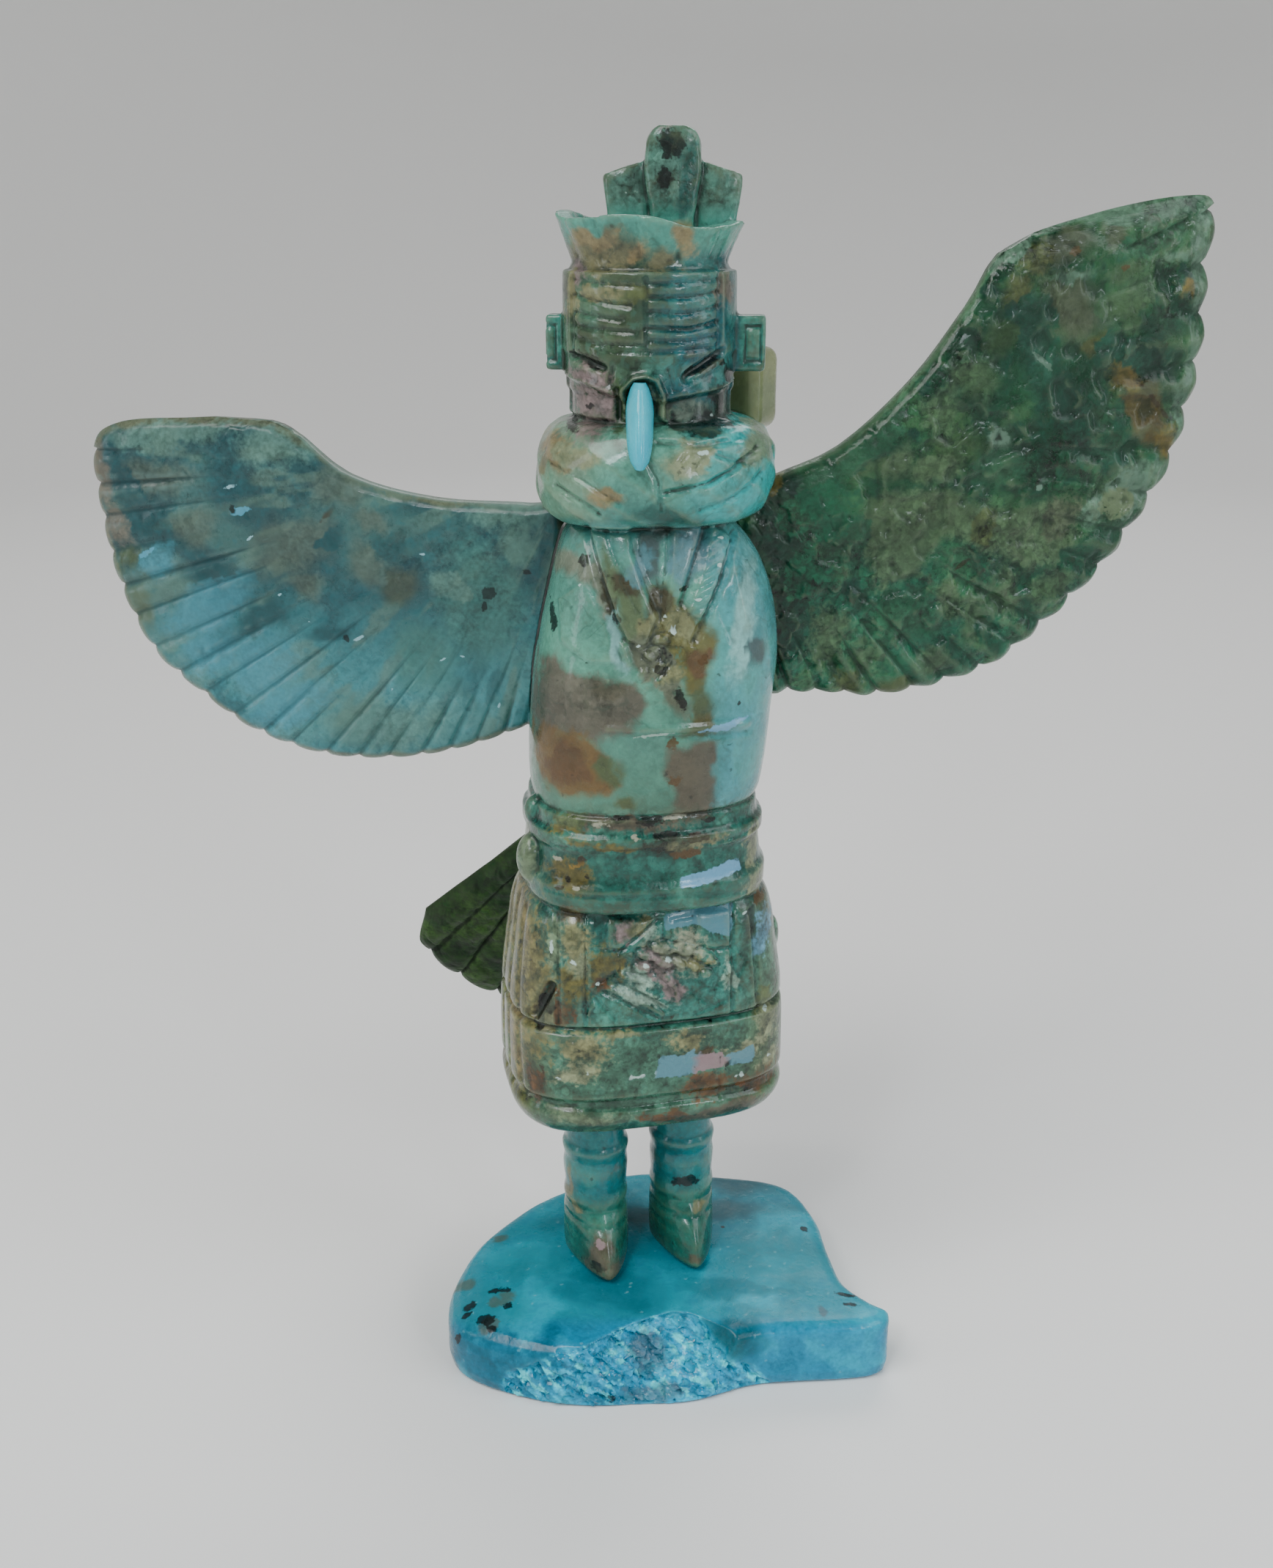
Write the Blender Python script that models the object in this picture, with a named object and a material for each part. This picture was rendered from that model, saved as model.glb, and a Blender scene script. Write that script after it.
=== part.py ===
"""A stone carving of a winged dancer that stands on a turquoise slab.

Metres, +Z up. The slab's underside is at z = 0, the dancer faces -Y and the wings spread along X.
Left and right are the viewer's, seen from the front. A turn is about +Z: a positive one turns the
front towards +X.
"""

import math
from collections import namedtuple

import bmesh
import bpy
from mathutils import Matrix, Vector

# Clearance between stones that touch.
TOUCH_GAP = 0.0003

# The slab.
BASE_LENGTH = 0.0420
BASE_DEPTH = 0.0283
BASE_THICKNESS = 0.0065
BASE_EDGE = 0.0011
BREAK_LENGTH = 0.0180
BREAK_DEPTH = 0.0062
CUT_MARGIN = 0.0004

# The slab's edge is this many times rounder at its front left corner.
CORNER_ROUNDING = 2.4

# The dancer, from the soles up.
BOOT_HEIGHT = 0.0174
BOOT_WIDTH = 0.0062
BOOT_TOE = 0.0067
STANCE = 0.0086
BOOT_SHIFT = -0.0001
KILT_HEIGHT = 0.0218
KILT_WIDTH = 0.0257
KILT_DEPTH = 0.0196
KILT_HEM = 0.0026
BELT_HEIGHT = 0.0090
BELT_WIDTH = 0.0217
BELT_DEPTH = 0.0190
TORSO_HEIGHT = 0.0240
TORSO_WIDTH = 0.0210
TORSO_DEPTH = 0.0180
RUFF_HEIGHT = 0.0086
RUFF_WIDTH = 0.0203
RUFF_DEPTH = 0.0188
HEAD_HEIGHT = 0.0116
HEAD_WIDTH = 0.0139
CROWN_HEIGHT = 0.0037
CROWN_WIDTH = 0.0152
FEATHER_HEIGHT = 0.0070
FEATHER_THICKNESS = 0.0026
FEATHER_X = 0.0018
FEATHER_SPACING = 0.0032
FEATHER_LEAN = 0.0007
SIDE_FEATHER = 0.56
CENTRE_FEATHER_Y = 0.0004
OUTER_FEATHER_Y = 0.0016
EAR_LEFT = 0.0015
EAR_RIGHT = 0.0025
EAR_ROOT = 0.0016
EAR_THICKNESS = 0.0022
EAR_HEIGHT = 0.0044
EAR_FORWARD = 0.0004
EYE_LENGTH = 0.0034
EYE_HEIGHT = 0.0007
EYE_DEPTH = 0.0006
ARCH_RELIEF = 0.0008
ARCH_WIDTH = 0.0006
GROOVE_DEPTH = 0.0004
GROOVE_WIDTH = 0.0008
STRAP_WIDTH = 0.0025
STRAP_RELIEF = 0.0005
KNOT_RADII = (0.0014, 0.0017, 0.0023)
LOOP_RADII = (0.0011, 0.0013, 0.0014)
SASH_END_RADII = (0.0008, 0.0014, 0.0018)
LUMP_SINK = 0.0003

# How each part of the dancer is turned and shifted: the body sways a little as it rises.
KILT_TURN = math.radians(13)
BELT_TURN = math.radians(11)
TORSO_TURN = math.radians(7)
HEAD_TURN = math.radians(-5)
KILT_X = -0.0008
BELT_X = -0.0007
CHEST_X = 0.0008
RUFF_X = 0.0005
RUFF_TILT = math.radians(3)

# Wings: the span runs from the shoulder to the tip, and the raise is its slope.
LOW_WING_SPAN = 0.0411
LOW_WING_RAISE = math.radians(6.8)
LOW_WING_SWEEP = math.radians(6)
HIGH_WING_SPAN = 0.0452
HIGH_WING_RAISE = math.radians(28.9)
HIGH_WING_SWEEP = math.radians(10)
LOW_SHOULDER_RISE = 0.0002
HIGH_SHOULDER_RISE = 0.0023
WING_THICKNESS = 0.0030
WING_CAMBER = 0.0012
WING_FEATHERS = 20
FEATHER_RELIEF = 0.00045

# The tail hangs from the back of the belt.
TAIL_LENGTH = 0.0372
TAIL_SIDE = 0.0308
TAIL_THICKNESS = 0.0022
TAIL_SPREAD = math.radians(36)
TAIL_SKEW = math.radians(8)
TAIL_SLOPE = math.radians(25)
TAIL_FEATHERS = 9
TAIL_SHIFT = 0.0010
TAIL_FORWARD = 0.0005
TAIL_DROP = 0.0015

# The inlaid beak and the block behind the neck.
BEAK_LENGTH = 0.0064
BEAK_WIDTH = 0.0023
BLOCK_WIDTH = 0.0088
BLOCK_THICKNESS = 0.0048
BLOCK_HEIGHT = 0.0070
BLOCK_SHIFT = 0.0019
BLOCK_EDGE = 0.0012
BLOCK_TURN = math.radians(-30)

# Heights that follow from the sizes above.
SOLE = BASE_THICKNESS + TOUCH_GAP
KILT_BOTTOM = SOLE + BOOT_HEIGHT
BELT_BOTTOM = KILT_BOTTOM + KILT_HEIGHT
WAIST = BELT_BOTTOM + BELT_HEIGHT
RUFF_BOTTOM = WAIST + TORSO_HEIGHT
HEAD_BOTTOM = RUFF_BOTTOM + RUFF_HEIGHT
CROWN_BOTTOM = HEAD_BOTTOM + HEAD_HEIGHT
CROWN_TOP = CROWN_BOTTOM + CROWN_HEIGHT

# Sides of the dancer's cross-sections, and of a boot's.
SEGMENTS = 32
BOOT_SEGMENTS = 16

# The crown's lip falls to the right by this much for each metre across.
CROWN_SLOPE = 0.06

# The headband's carving stops at this angle from the face's middle.
FACE_REACH = math.radians(57)

Ring = namedtuple("Ring", "z half_width half_depth x power turn front_cut tilt")


def clear_scene():
    for obj in list(bpy.data.objects):
        bpy.data.objects.remove(obj, do_unlink=True)


def stone(name, colour, roughness):
    material = bpy.data.materials.new(name)
    material.use_nodes = True
    shader = material.node_tree.nodes["Principled BSDF"]
    shader.inputs["Base Color"].default_value = (*colour, 1)
    shader.inputs["Roughness"].default_value = roughness
    shader.inputs["Metallic"].default_value = 0
    return material


def add_object(name, mesh, material):
    mesh.shade_smooth()
    mesh.set_sharp_from_angle(angle=math.radians(35))
    mesh.materials.append(material)
    obj = bpy.data.objects.new(name, mesh)
    bpy.context.scene.collection.objects.link(obj)
    return obj


def grid_mesh(name, rows):
    """A closed mesh from rows of points, with a cap on the first and the last row."""
    bm = bmesh.new()
    made = [[bm.verts.new(point) for point in row] for row in rows]
    count = len(rows[0])
    for lower, upper in zip(made, made[1:]):
        for i in range(count):
            j = (i + 1) % count
            bm.faces.new((lower[i], lower[j], upper[j], upper[i]))
    bm.faces.new(made[0][::-1])
    bm.faces.new(made[-1])
    bmesh.ops.recalc_face_normals(bm, faces=bm.faces)
    mesh = bpy.data.meshes.new(name)
    bm.to_mesh(mesh)
    bm.free()
    return mesh


def helper(name, mesh, collection):
    """A shape that a Boolean joins or cuts away, kept out of the model itself."""
    obj = bpy.data.objects.new(name, mesh)
    obj.hide_render = True
    obj.display_type = "WIRE"
    collection.objects.link(obj)
    return obj


def new_collection(name):
    collection = bpy.data.collections.new(name)
    bpy.context.scene.collection.children.link(collection)
    return collection


def boolean(obj, operation, collection):
    modifier = obj.modifiers.new(operation.lower(), "BOOLEAN")
    modifier.operation = operation
    modifier.solver = "EXACT"
    modifier.operand_type = "COLLECTION"
    modifier.collection = collection


def smooth_closed(points, steps):
    """A closed Catmull-Rom curve through the points, each pair joined in so many steps."""
    curve = []
    count = len(points)
    for i in range(count):
        a, b, c, d = (Vector(points[(i + k - 1) % count]) for k in range(4))
        for step in range(steps):
            t = step / steps
            curve.append(
                0.5 * (2 * b + (c - a) * t + (2 * a - 5 * b + 4 * c - d) * t**2 + (3 * b - a - 3 * c + d) * t**3)
            )
    return curve


def smooth_step(value):
    value = min(max(value, 0.0), 1.0)
    return value * value * (3 - 2 * value)


# The slab's outline, as shares of its length and depth, starting at the right end.
BASE_OUTLINE = (
    (0.538, -0.382), (0.500, -0.322), (0.450, -0.222), (0.426, -0.042), (0.409, 0.155), (0.345, 0.350),
    (0.190, 0.418), (-0.038, 0.438), (-0.221, 0.307), (-0.340, 0.127), (-0.424, -0.092), (-0.454, -0.290),
    (-0.408, -0.458), (-0.226, -0.576), (-0.060, -0.594), (0.100, -0.572), (0.250, -0.492), (0.488, -0.458),
)


def inset_outline(outline, inset):
    """The outline moved inwards by the inset, along each point's own normal."""
    moved = []
    count = len(outline)
    for i, point in enumerate(outline):
        along = (outline[(i + 1) % count] - outline[i - 1]).normalized()
        moved.append(point + inset * Vector((-along.y, along.x)))
    return moved


def slab_outline():
    points = [(x * BASE_LENGTH, y * BASE_DEPTH) for x, y in BASE_OUTLINE]
    return smooth_closed(points, 2)[::-1]


def break_cutter():
    """What broke off the slab's front edge: its inner face is rough and slopes out to the underside."""
    middle_x = -0.02 * BASE_LENGTH
    front = -0.584 * BASE_DEPTH
    columns, levels = 12, 4
    rows = []
    for level in range(levels + 1):
        rise = level / levels
        row = []
        for column in range(columns + 1):
            side = 2 * column / columns - 1
            peak = max(0.0, 1 - abs(side - 0.38) ** 1.3)
            chip = 0.09 * math.sin(5.1 * column + 2.3 * level) * math.sin(math.pi * rise)
            bite = BREAK_DEPTH * (peak * rise**0.9 + chip) - CUT_MARGIN
            x = middle_x + side * BREAK_LENGTH / 2
            z = rise * (BASE_THICKNESS + 2 * CUT_MARGIN) - CUT_MARGIN
            row.append(Vector((x, front + max(bite, -0.75 * CUT_MARGIN), z)))
        outside = front - BASE_DEPTH / 4
        row.append(Vector((middle_x + BREAK_LENGTH / 2, outside, row[-1].z)))
        row.append(Vector((middle_x - BREAK_LENGTH / 2, outside, row[0].z)))
        rows.append(row)
    return grid_mesh("slab break", rows)


def edge_size(point):
    """The size of the slab's rounded upper edge at a point of its outline."""
    left = smooth_step((-point.x / BASE_LENGTH - 0.10) / 0.25)
    front = smooth_step((-point.y / BASE_DEPTH + 0.05) / 0.35)
    return BASE_EDGE * (1 + (CORNER_ROUNDING - 1) * left * front)


def build_base():
    outline = slab_outline()
    rows = []
    for z, inset in ((0.0, 0.6), (0.3, 0.2), (1.2, 0.0)):
        rows.append([Vector((p.x, p.y, z * BASE_EDGE)) for p in inset_outline(outline, -inset * BASE_EDGE)])
    for drop, inset in ((1.0, 0.0), (0.3, 0.35), (0.0, 1.2)):
        row = []
        for point, moved in zip(outline, inset_outline(outline, -1.0)):
            edge = edge_size(point)
            place = point + (moved - point) * inset * edge
            row.append(Vector((place.x, place.y, BASE_THICKNESS - drop * edge)))
        rows.append(row)
    base = add_object("base", grid_mesh("base", rows), stone("bright_turquoise", (0.02, 0.30, 0.38), 0.3))
    cuts = new_collection("slab cuts")
    helper("slab break", break_cutter(), cuts)
    boolean(base, "DIFFERENCE", cuts)


def ring(z, half_width, half_depth, x=0.0, power=2.4, turn=0.0, front_cut=0.0, tilt=0.0):
    return Ring(z, half_width, half_depth, x, power, turn, front_cut, tilt)


def kilt_rings():
    """Share of the height, share of the width: a rounded hem, two grooves and a narrowing top."""
    hem = KILT_HEM / KILT_HEIGHT
    shape = (
        (0.0, 1 - 2.2 * KILT_HEM / KILT_WIDTH), (0.3 * hem, 1 - 0.65 * KILT_HEM / KILT_WIDTH), (hem, 1.0),
        (0.18, 0.965), (0.215, 1.0), (0.49, 0.988), (0.515, 0.945), (0.54, 0.982), (0.78, 0.935),
        (0.95, 0.885), (1.0, 0.84),
    )
    rings = []
    for height, width in shape:
        z = KILT_BOTTOM + height * KILT_HEIGHT
        half_depth = KILT_DEPTH / 2 - (1 - width) * KILT_WIDTH / 2
        rings.append(ring(z, width * KILT_WIDTH / 2, half_depth, KILT_X, 3.4, KILT_TURN))
    return rings


def belt_rings():
    """Two raised rolls with a flat band between them."""
    shape = (
        (0.03, 0.965), (0.10, 1.0), (0.26, 1.005), (0.36, 0.965), (0.63, 0.945), (0.68, 0.975), (0.78, 0.975),
        (0.84, 0.93), (0.97, 0.92), (1.0, 0.88),
    )
    return [
        ring(BELT_BOTTOM + h * BELT_HEIGHT, w * BELT_WIDTH / 2, w * BELT_DEPTH / 2, BELT_X, 2.8, BELT_TURN)
        for h, w in shape
    ]


def torso_rings():
    """Share of the height, of the width, of the depth and of the sway to the right."""
    shape = (
        (0.01, 0.95, 0.98, -0.6), (0.10, 0.985, 1.0, -0.4), (0.28, 1.0, 1.0, 0.0), (0.46, 1.0, 0.98, 0.55),
        (0.62, 0.965, 0.93, 1.0), (0.75, 0.905, 0.89, 1.1), (0.86, 0.83, 0.83, 0.9), (0.94, 0.745, 0.77, 0.5),
        (0.985, 0.675, 0.73, 0.25),
    )
    return [
        ring(WAIST + h * TORSO_HEIGHT, w * TORSO_WIDTH / 2, d * TORSO_DEPTH / 2, s * CHEST_X, 2.5, TORSO_TURN)
        for h, w, d, s in shape
    ]


def ruff_rings():
    shape = (
        (0.0, 0.68), (0.06, 0.85), (0.22, 0.965), (0.44, 1.0), (0.66, 0.985), (0.84, 0.92), (0.95, 0.80),
        (1.0, 0.66),
    )
    return [
        ring(
            RUFF_BOTTOM + h * RUFF_HEIGHT, w * RUFF_WIDTH / 2, w * RUFF_DEPTH / 2, RUFF_X, 2.3,
            tilt=RUFF_TILT * math.sin(math.pi * min(h + 0.1, 1.0)),
        )
        for h, w in shape
    ]


def head_rings():
    """A drum: recessed cheeks, a mask above them, and a headband of rolls across the brow."""
    half = HEAD_WIDTH / 2
    shape = [(0.02, 0.965, 0.0), (0.17, 0.965, 0.0), (0.20, 1.0, 0.0), (0.49, 1.0, 0.0)]
    rolls = 4
    for roll in range(rolls):
        start = 0.52 + 0.108 * roll
        shape += [(start, 1.0, GROOVE_DEPTH), (start + 0.05, 1.0, 0.0)]
    shape += [(0.955, 1.0, GROOVE_DEPTH), (0.985, 0.975, 0.0), (1.0, 0.90, 0.0)]
    return [
        ring(HEAD_BOTTOM + h * HEAD_HEIGHT, w * half, w * half, 0.0, 2.3, HEAD_TURN, front_cut=cut)
        for h, w, cut in shape
    ]


def crown_rings():
    """A flared cup: the last two rings are the floor inside it."""
    half = CROWN_WIDTH / 2
    shape = ((0.12, 0.825), (0.45, 0.88), (0.80, 0.955), (1.0, 1.0), (1.0, 0.86), (0.62, 0.76))
    return [ring(CROWN_BOTTOM + h * CROWN_HEIGHT, w * half, w * half, 0.0, 2.2, HEAD_TURN) for h, w in shape]


def outline_radius(angle, half_width, half_depth, power):
    across = abs(math.cos(angle)) / half_width
    along = abs(math.sin(angle)) / half_depth
    return (across**power + along**power) ** (-1 / power)


def from_front(angle):
    """The angle between a direction in a ring and its front, from 0 to pi."""
    return abs((angle - 1.5 * math.pi + math.pi) % (2 * math.pi) - math.pi)


def ring_point(level, angle, grow=0.0):
    radius = outline_radius(angle, level.half_width, level.half_depth, level.power) + grow
    if level.front_cut and from_front(angle) < FACE_REACH:
        radius -= level.front_cut
    x = radius * math.cos(angle)
    y = radius * math.sin(angle)
    turned = Matrix.Rotation(level.turn, 2) @ Vector((x, y))
    return Vector((level.x + turned.x, turned.y, level.z + turned.x * math.tan(level.tilt)))


def column_rings():
    return kilt_rings() + belt_rings() + torso_rings() + ruff_rings() + head_rings() + crown_rings()


def column_mesh(name, grow=0.0):
    """The dancer from the hem to the crown, or the room it needs with the gap around it."""
    angles = [2 * math.pi * i / SEGMENTS for i in range(SEGMENTS)]
    rows = []
    for level in column_rings():
        row = [ring_point(level, angle, grow) for angle in angles]
        share = max(0.0, (level.z - CROWN_BOTTOM) / CROWN_HEIGHT)
        for angle, point in zip(angles, row):
            wave = CROWN_HEIGHT * 0.08 * math.cos(4 * angle + 0.5) - CROWN_SLOPE * point.x
            point.z += share**2 * wave
        rows.append(row)
    return grid_mesh(name, rows)


def level_at(rings, z):
    """The ring between two of these at a height."""
    for lower, upper in zip(rings, rings[1:]):
        if lower.z <= z <= upper.z:
            t = (z - lower.z) / (upper.z - lower.z)
            return Ring(*(a + (b - a) * t for a, b in zip(lower, upper)))
    return rings[0] if z < rings[0].z else rings[-1]


def surface_point(rings, z, angle, out=0.0):
    """The point at a height, an angle from the front (positive to the right) and a distance outwards."""
    return ring_point(level_at(rings, z), 1.5 * math.pi + angle, out)


def boot_mesh(name, side):
    """One pointed boot: side is -1 for the left one and 1 for the right one."""
    half = BOOT_WIDTH / 2
    shape = (
        (0.000, 0.88, 0.94, 1.40), (0.030, 1.00, 1.00, 1.45), (0.100, 1.02, 0.94, 1.50),
        (0.190, 1.01, 0.80, 1.60), (0.280, 1.00, 0.62, 1.80), (0.340, 0.95, 0.53, 2.00),
        (0.380, 1.00, 0.52, 2.00), (0.440, 0.96, 0.49, 2.00), (0.560, 1.00, 0.50, 2.00),
        (0.620, 0.97, 0.48, 2.00), (0.690, 1.03, 0.51, 2.00), (0.730, 0.92, 0.46, 2.00),
        (1.100, 0.90, 0.45, 2.00),
    )
    turn = Matrix.Rotation(KILT_TURN, 2)
    centre = turn @ Vector((side * STANCE / 2, 0)) + Vector((KILT_X + BOOT_SHIFT, 0))
    rows = []
    for height, width, toe, point in shape:
        row = []
        for i in range(BOOT_SEGMENTS):
            angle = 2 * math.pi * i / BOOT_SEGMENTS
            ahead = math.sin(angle) < 0
            reach = toe * BOOT_TOE if ahead else 1.05 * width * half
            radius = outline_radius(angle, width * half, reach, point if ahead else 2.0)
            place = centre + turn @ Vector((radius * math.cos(angle), radius * math.sin(angle)))
            row.append(Vector((place.x, place.y, SOLE + height * BOOT_HEIGHT)))
        rows.append(row)
    return grid_mesh(name, rows)


def strap_mesh(name, route):
    """A band on the chest through (share of the torso's height, angle from the front) pairs."""
    rings = torso_rings()
    centres = [
        (WAIST + height * TORSO_HEIGHT, math.radians(angle)) for height, angle in route
    ]
    half_angle = STRAP_WIDTH / TORSO_WIDTH
    rows = []
    for z, angle in centres:
        row = []
        for side, out in ((-1, -1.6), (-0.85, 1.0), (0.85, 1.0), (1, -1.6)):
            row.append(surface_point(rings, z, angle + side * half_angle, out * STRAP_RELIEF))
        rows.append(row)
    return grid_mesh(name, rows)


def ellipsoid(name, centre, radii, sides=10, levels=6):
    rows = []
    for level in range(1, levels):
        polar = math.pi * level / levels
        row = []
        for i in range(sides):
            angle = 2 * math.pi * i / sides
            offset = Vector((
                radii[0] * math.sin(polar) * math.cos(angle),
                radii[1] * math.sin(polar) * math.sin(angle),
                -radii[2] * math.cos(polar),
            ))
            row.append(Vector(centre) + offset)
        rows.append(row)
    return grid_mesh(name, rows)


def block_mesh(name, size, place):
    """A plain box of this size, moved by the matrix."""
    bm = bmesh.new()
    bmesh.ops.create_cube(bm, size=1, matrix=place @ Matrix.Diagonal((*size, 1)))
    mesh = bpy.data.meshes.new(name)
    bm.to_mesh(mesh)
    bm.free()
    return mesh


def slab_feather(name, x, lean, slope, widths, top, thickness, y):
    """One upright feather of the crown: widths are (share of the height, half-width) pairs."""
    bottom = CROWN_BOTTOM + 0.3 * CROWN_HEIGHT
    rows = []
    for share, half in widths:
        z = bottom + share * (top - bottom)
        middle = x + lean * share
        ends = ((-1, -0.6), (-0.7, -1), (0.7, -1), (1, -0.6), (1, 0.6), (0.7, 1), (-0.7, 1), (-1, 0.6))
        rows.append([
            Vector((middle + side * half, y + deep * thickness / 2, z + slope * share**4 * side * half))
            for side, deep in ends
        ])
    return grid_mesh(name, rows)


# Half-widths of the upright feathers, each at a share of the height.
CENTRE_FEATHER = ((0, 0.0016), (0.35, 0.0018), (0.68, 0.00228), (0.86, 0.0022), (0.96, 0.0017), (1, 0.0011))
OUTER_FEATHER = ((0, 0.0014), (0.55, 0.0015), (0.9, 0.0017), (1, 0.0014))


def crown_feathers(parts):
    centre_top = CROWN_TOP + FEATHER_HEIGHT
    side_top = CROWN_TOP + SIDE_FEATHER * FEATHER_HEIGHT
    feathers = (
        ("centre feather", 0, CENTRE_FEATHER, centre_top, FEATHER_THICKNESS, CENTRE_FEATHER_Y),
        ("left feather", -1, OUTER_FEATHER, side_top, 0.85 * FEATHER_THICKNESS, OUTER_FEATHER_Y),
        ("right feather", 1, OUTER_FEATHER, side_top, 0.85 * FEATHER_THICKNESS, OUTER_FEATHER_Y),
    )
    for name, side, widths, top, thickness, y in feathers:
        x = FEATHER_X + side * FEATHER_SPACING
        mesh = slab_feather(name, x, side * FEATHER_LEAN, -0.3 * side, widths, top, thickness, y)
        helper(name, mesh, parts)


def ears(parts):
    """A flat tab on each side of the mask; the right one shows more of itself."""
    z = HEAD_BOTTOM + 0.50 * HEAD_HEIGHT
    for side, out in ((-1, EAR_LEFT), (1, EAR_RIGHT)):
        size = (out + EAR_ROOT, EAR_THICKNESS, EAR_HEIGHT)
        middle = HEAD_WIDTH / 2 + out - size[0] / 2
        turn = Matrix.Rotation(HEAD_TURN, 4, "Z")
        place = Matrix.Translation((0, 0, z)) @ turn @ Matrix.Translation((side * middle, -EAR_FORWARD, 0))
        helper(f"ear {side}", block_mesh(f"ear {side}", size, place), parts)


def eye_cutters(cuts):
    rings = head_rings()
    for side in (-1, 1):
        z = HEAD_BOTTOM + 0.40 * HEAD_HEIGHT
        angle = side * math.radians(42)
        centre = surface_point(rings, z, angle)
        turn = Matrix.Rotation(HEAD_TURN + angle, 4, "Z") @ Matrix.Rotation(-side * math.radians(22), 4, "Y")
        place = Matrix.Translation(centre) @ turn
        helper(f"eye {side}", block_mesh(f"eye {side}", (EYE_LENGTH, 2 * EYE_DEPTH, EYE_HEIGHT), place), cuts)


def brow_arch(parts):
    """The raised arch over the beak."""
    rings = head_rings()
    rows = []
    steps = 8
    half_angle = math.radians(14)
    for step in range(steps + 1):
        t = math.pi * step / steps
        angle = -half_angle * math.cos(t)
        z = HEAD_BOTTOM + (0.14 + 0.22 * math.sin(t)) * HEAD_HEIGHT
        row = []
        for side, out in ((-1, -0.75), (-0.7, 1), (0.7, 1), (1, -0.75)):
            shift = side * ARCH_WIDTH / 2
            across = angle - shift * math.cos(t) / (HEAD_WIDTH / 2)
            row.append(surface_point(rings, z + shift * math.sin(t), across, out * ARCH_RELIEF))
        rows.append(row)
    helper("brow arch", grid_mesh("brow arch", rows), parts)


def groove_cutter(name, points, cuts):
    """A V-shaped groove along points given as (position on the surface, outward direction).

    The cutter's two edges stand clear of the surface, on the slopes of the V drawn on.
    """
    clear = 3
    rows = []
    for number, (place, out) in enumerate(points):
        ahead = points[min(number + 1, len(points) - 1)][0] - points[max(number - 1, 0)][0]
        across = ahead.cross(out).normalized() * (1 + clear) * GROOVE_WIDTH / 2
        lift = out * clear * GROOVE_DEPTH
        rows.append([place + across + lift, place - out * GROOVE_DEPTH, place - across + lift])
    helper(name, grid_mesh(name, rows), cuts)


def on_kilt(height, angle):
    """A place on the kilt, by share of its height and angle from its front, and the way out of it."""
    rings = kilt_rings()
    z = KILT_BOTTOM + height * KILT_HEIGHT
    inner = surface_point(rings, z, angle)
    outer = surface_point(rings, z, angle, GROOVE_WIDTH)
    return inner, (outer - inner).normalized()


# The kilt's carving, as lines from one (share of the height, degrees from the front) to another.
KILT_LINES = (
    ((0.56, -36), (0.93, -36)), ((0.56, 38), (0.93, 38)), ((0.56, -50), (0.93, -50)), ((0.56, 52), (0.93, 52)),
    ((0.57, -30), (0.91, 4)), ((0.90, -22), (0.58, 12)), ((0.74, -34), (0.58, 0)), ((0.92, 4), (0.72, 36)),
    ((0.56, 10), (0.76, 36)),
)
BEAD_RADII = (0.0011, 0.0006, 0.0005)
SASH_LINES = (((0.14, -98), (0.93, -92)), ((0.14, -84), (0.90, -80)), ((0.14, -70), (0.90, -68)))


def kilt_carving(parts, cuts):
    for number, (start, end) in enumerate(KILT_LINES + SASH_LINES):
        steps = 3
        points = []
        for step in range(steps + 1):
            t = step / steps
            height = start[0] + (end[0] - start[0]) * t
            angle = math.radians(start[1] + (end[1] - start[1]) * t)
            points.append(on_kilt(height, angle))
        groove_cutter(f"kilt groove {number}", points, cuts)
    for number in range(6):
        height = 0.66 + 0.05 * (number % 3)
        angle = math.radians(-8 + 10 * (number // 3) + 5 * (number % 3))
        centre, _ = on_kilt(height, angle)
        name = f"kilt bead {number}"
        bead = ellipsoid(name, (0, 0, 0), BEAD_RADII, 8, 4)
        bead.transform(Matrix.Translation(centre) @ Matrix.Rotation(math.radians(35), 4, "Y"))
        helper(name, bead, parts)


def sash_knot(parts):
    """The knot on the left hip with a smaller lump above it, and the sash's end on the right."""
    belt = belt_rings()
    lumps = (
        ("knot", belt, BELT_BOTTOM + 0.40 * BELT_HEIGHT, -76, 0.0, KNOT_RADII),
        ("knot loop", belt, BELT_BOTTOM + 0.86 * BELT_HEIGHT, -80, -LUMP_SINK, LOOP_RADII),
        ("sash end", kilt_rings(), KILT_BOTTOM + 0.74 * KILT_HEIGHT, 76, -LUMP_SINK, SASH_END_RADII),
    )
    for name, rings, z, degrees, out, radii in lumps:
        helper(name, ellipsoid(name, surface_point(rings, z, math.radians(degrees), out), radii), parts)


LEFT_STRAP = ((0.985, -58), (0.92, -40), (0.84, -25), (0.74, -14), (0.64, -4))
RIGHT_STRAP = ((0.985, 46), (0.92, 36), (0.84, 25), (0.76, 13), (0.68, 2))


def build_figure():
    figure = add_object("figure", column_mesh("figure"), stone("green_turquoise", (0.12, 0.34, 0.30), 0.25))
    parts = new_collection("figure parts")
    cuts = new_collection("figure cuts")
    for side in (-1, 1):
        helper(f"boot {side}", boot_mesh(f"boot {side}", side), parts)
    helper("left strap", strap_mesh("left strap", LEFT_STRAP), parts)
    helper("right strap", strap_mesh("right strap", RIGHT_STRAP), parts)
    sash_knot(parts)
    ears(parts)
    brow_arch(parts)
    crown_feathers(parts)
    kilt_carving(parts, cuts)
    eye_cutters(cuts)
    boolean(figure, "UNION", parts)
    boolean(figure, "DIFFERENCE", cuts)


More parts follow.
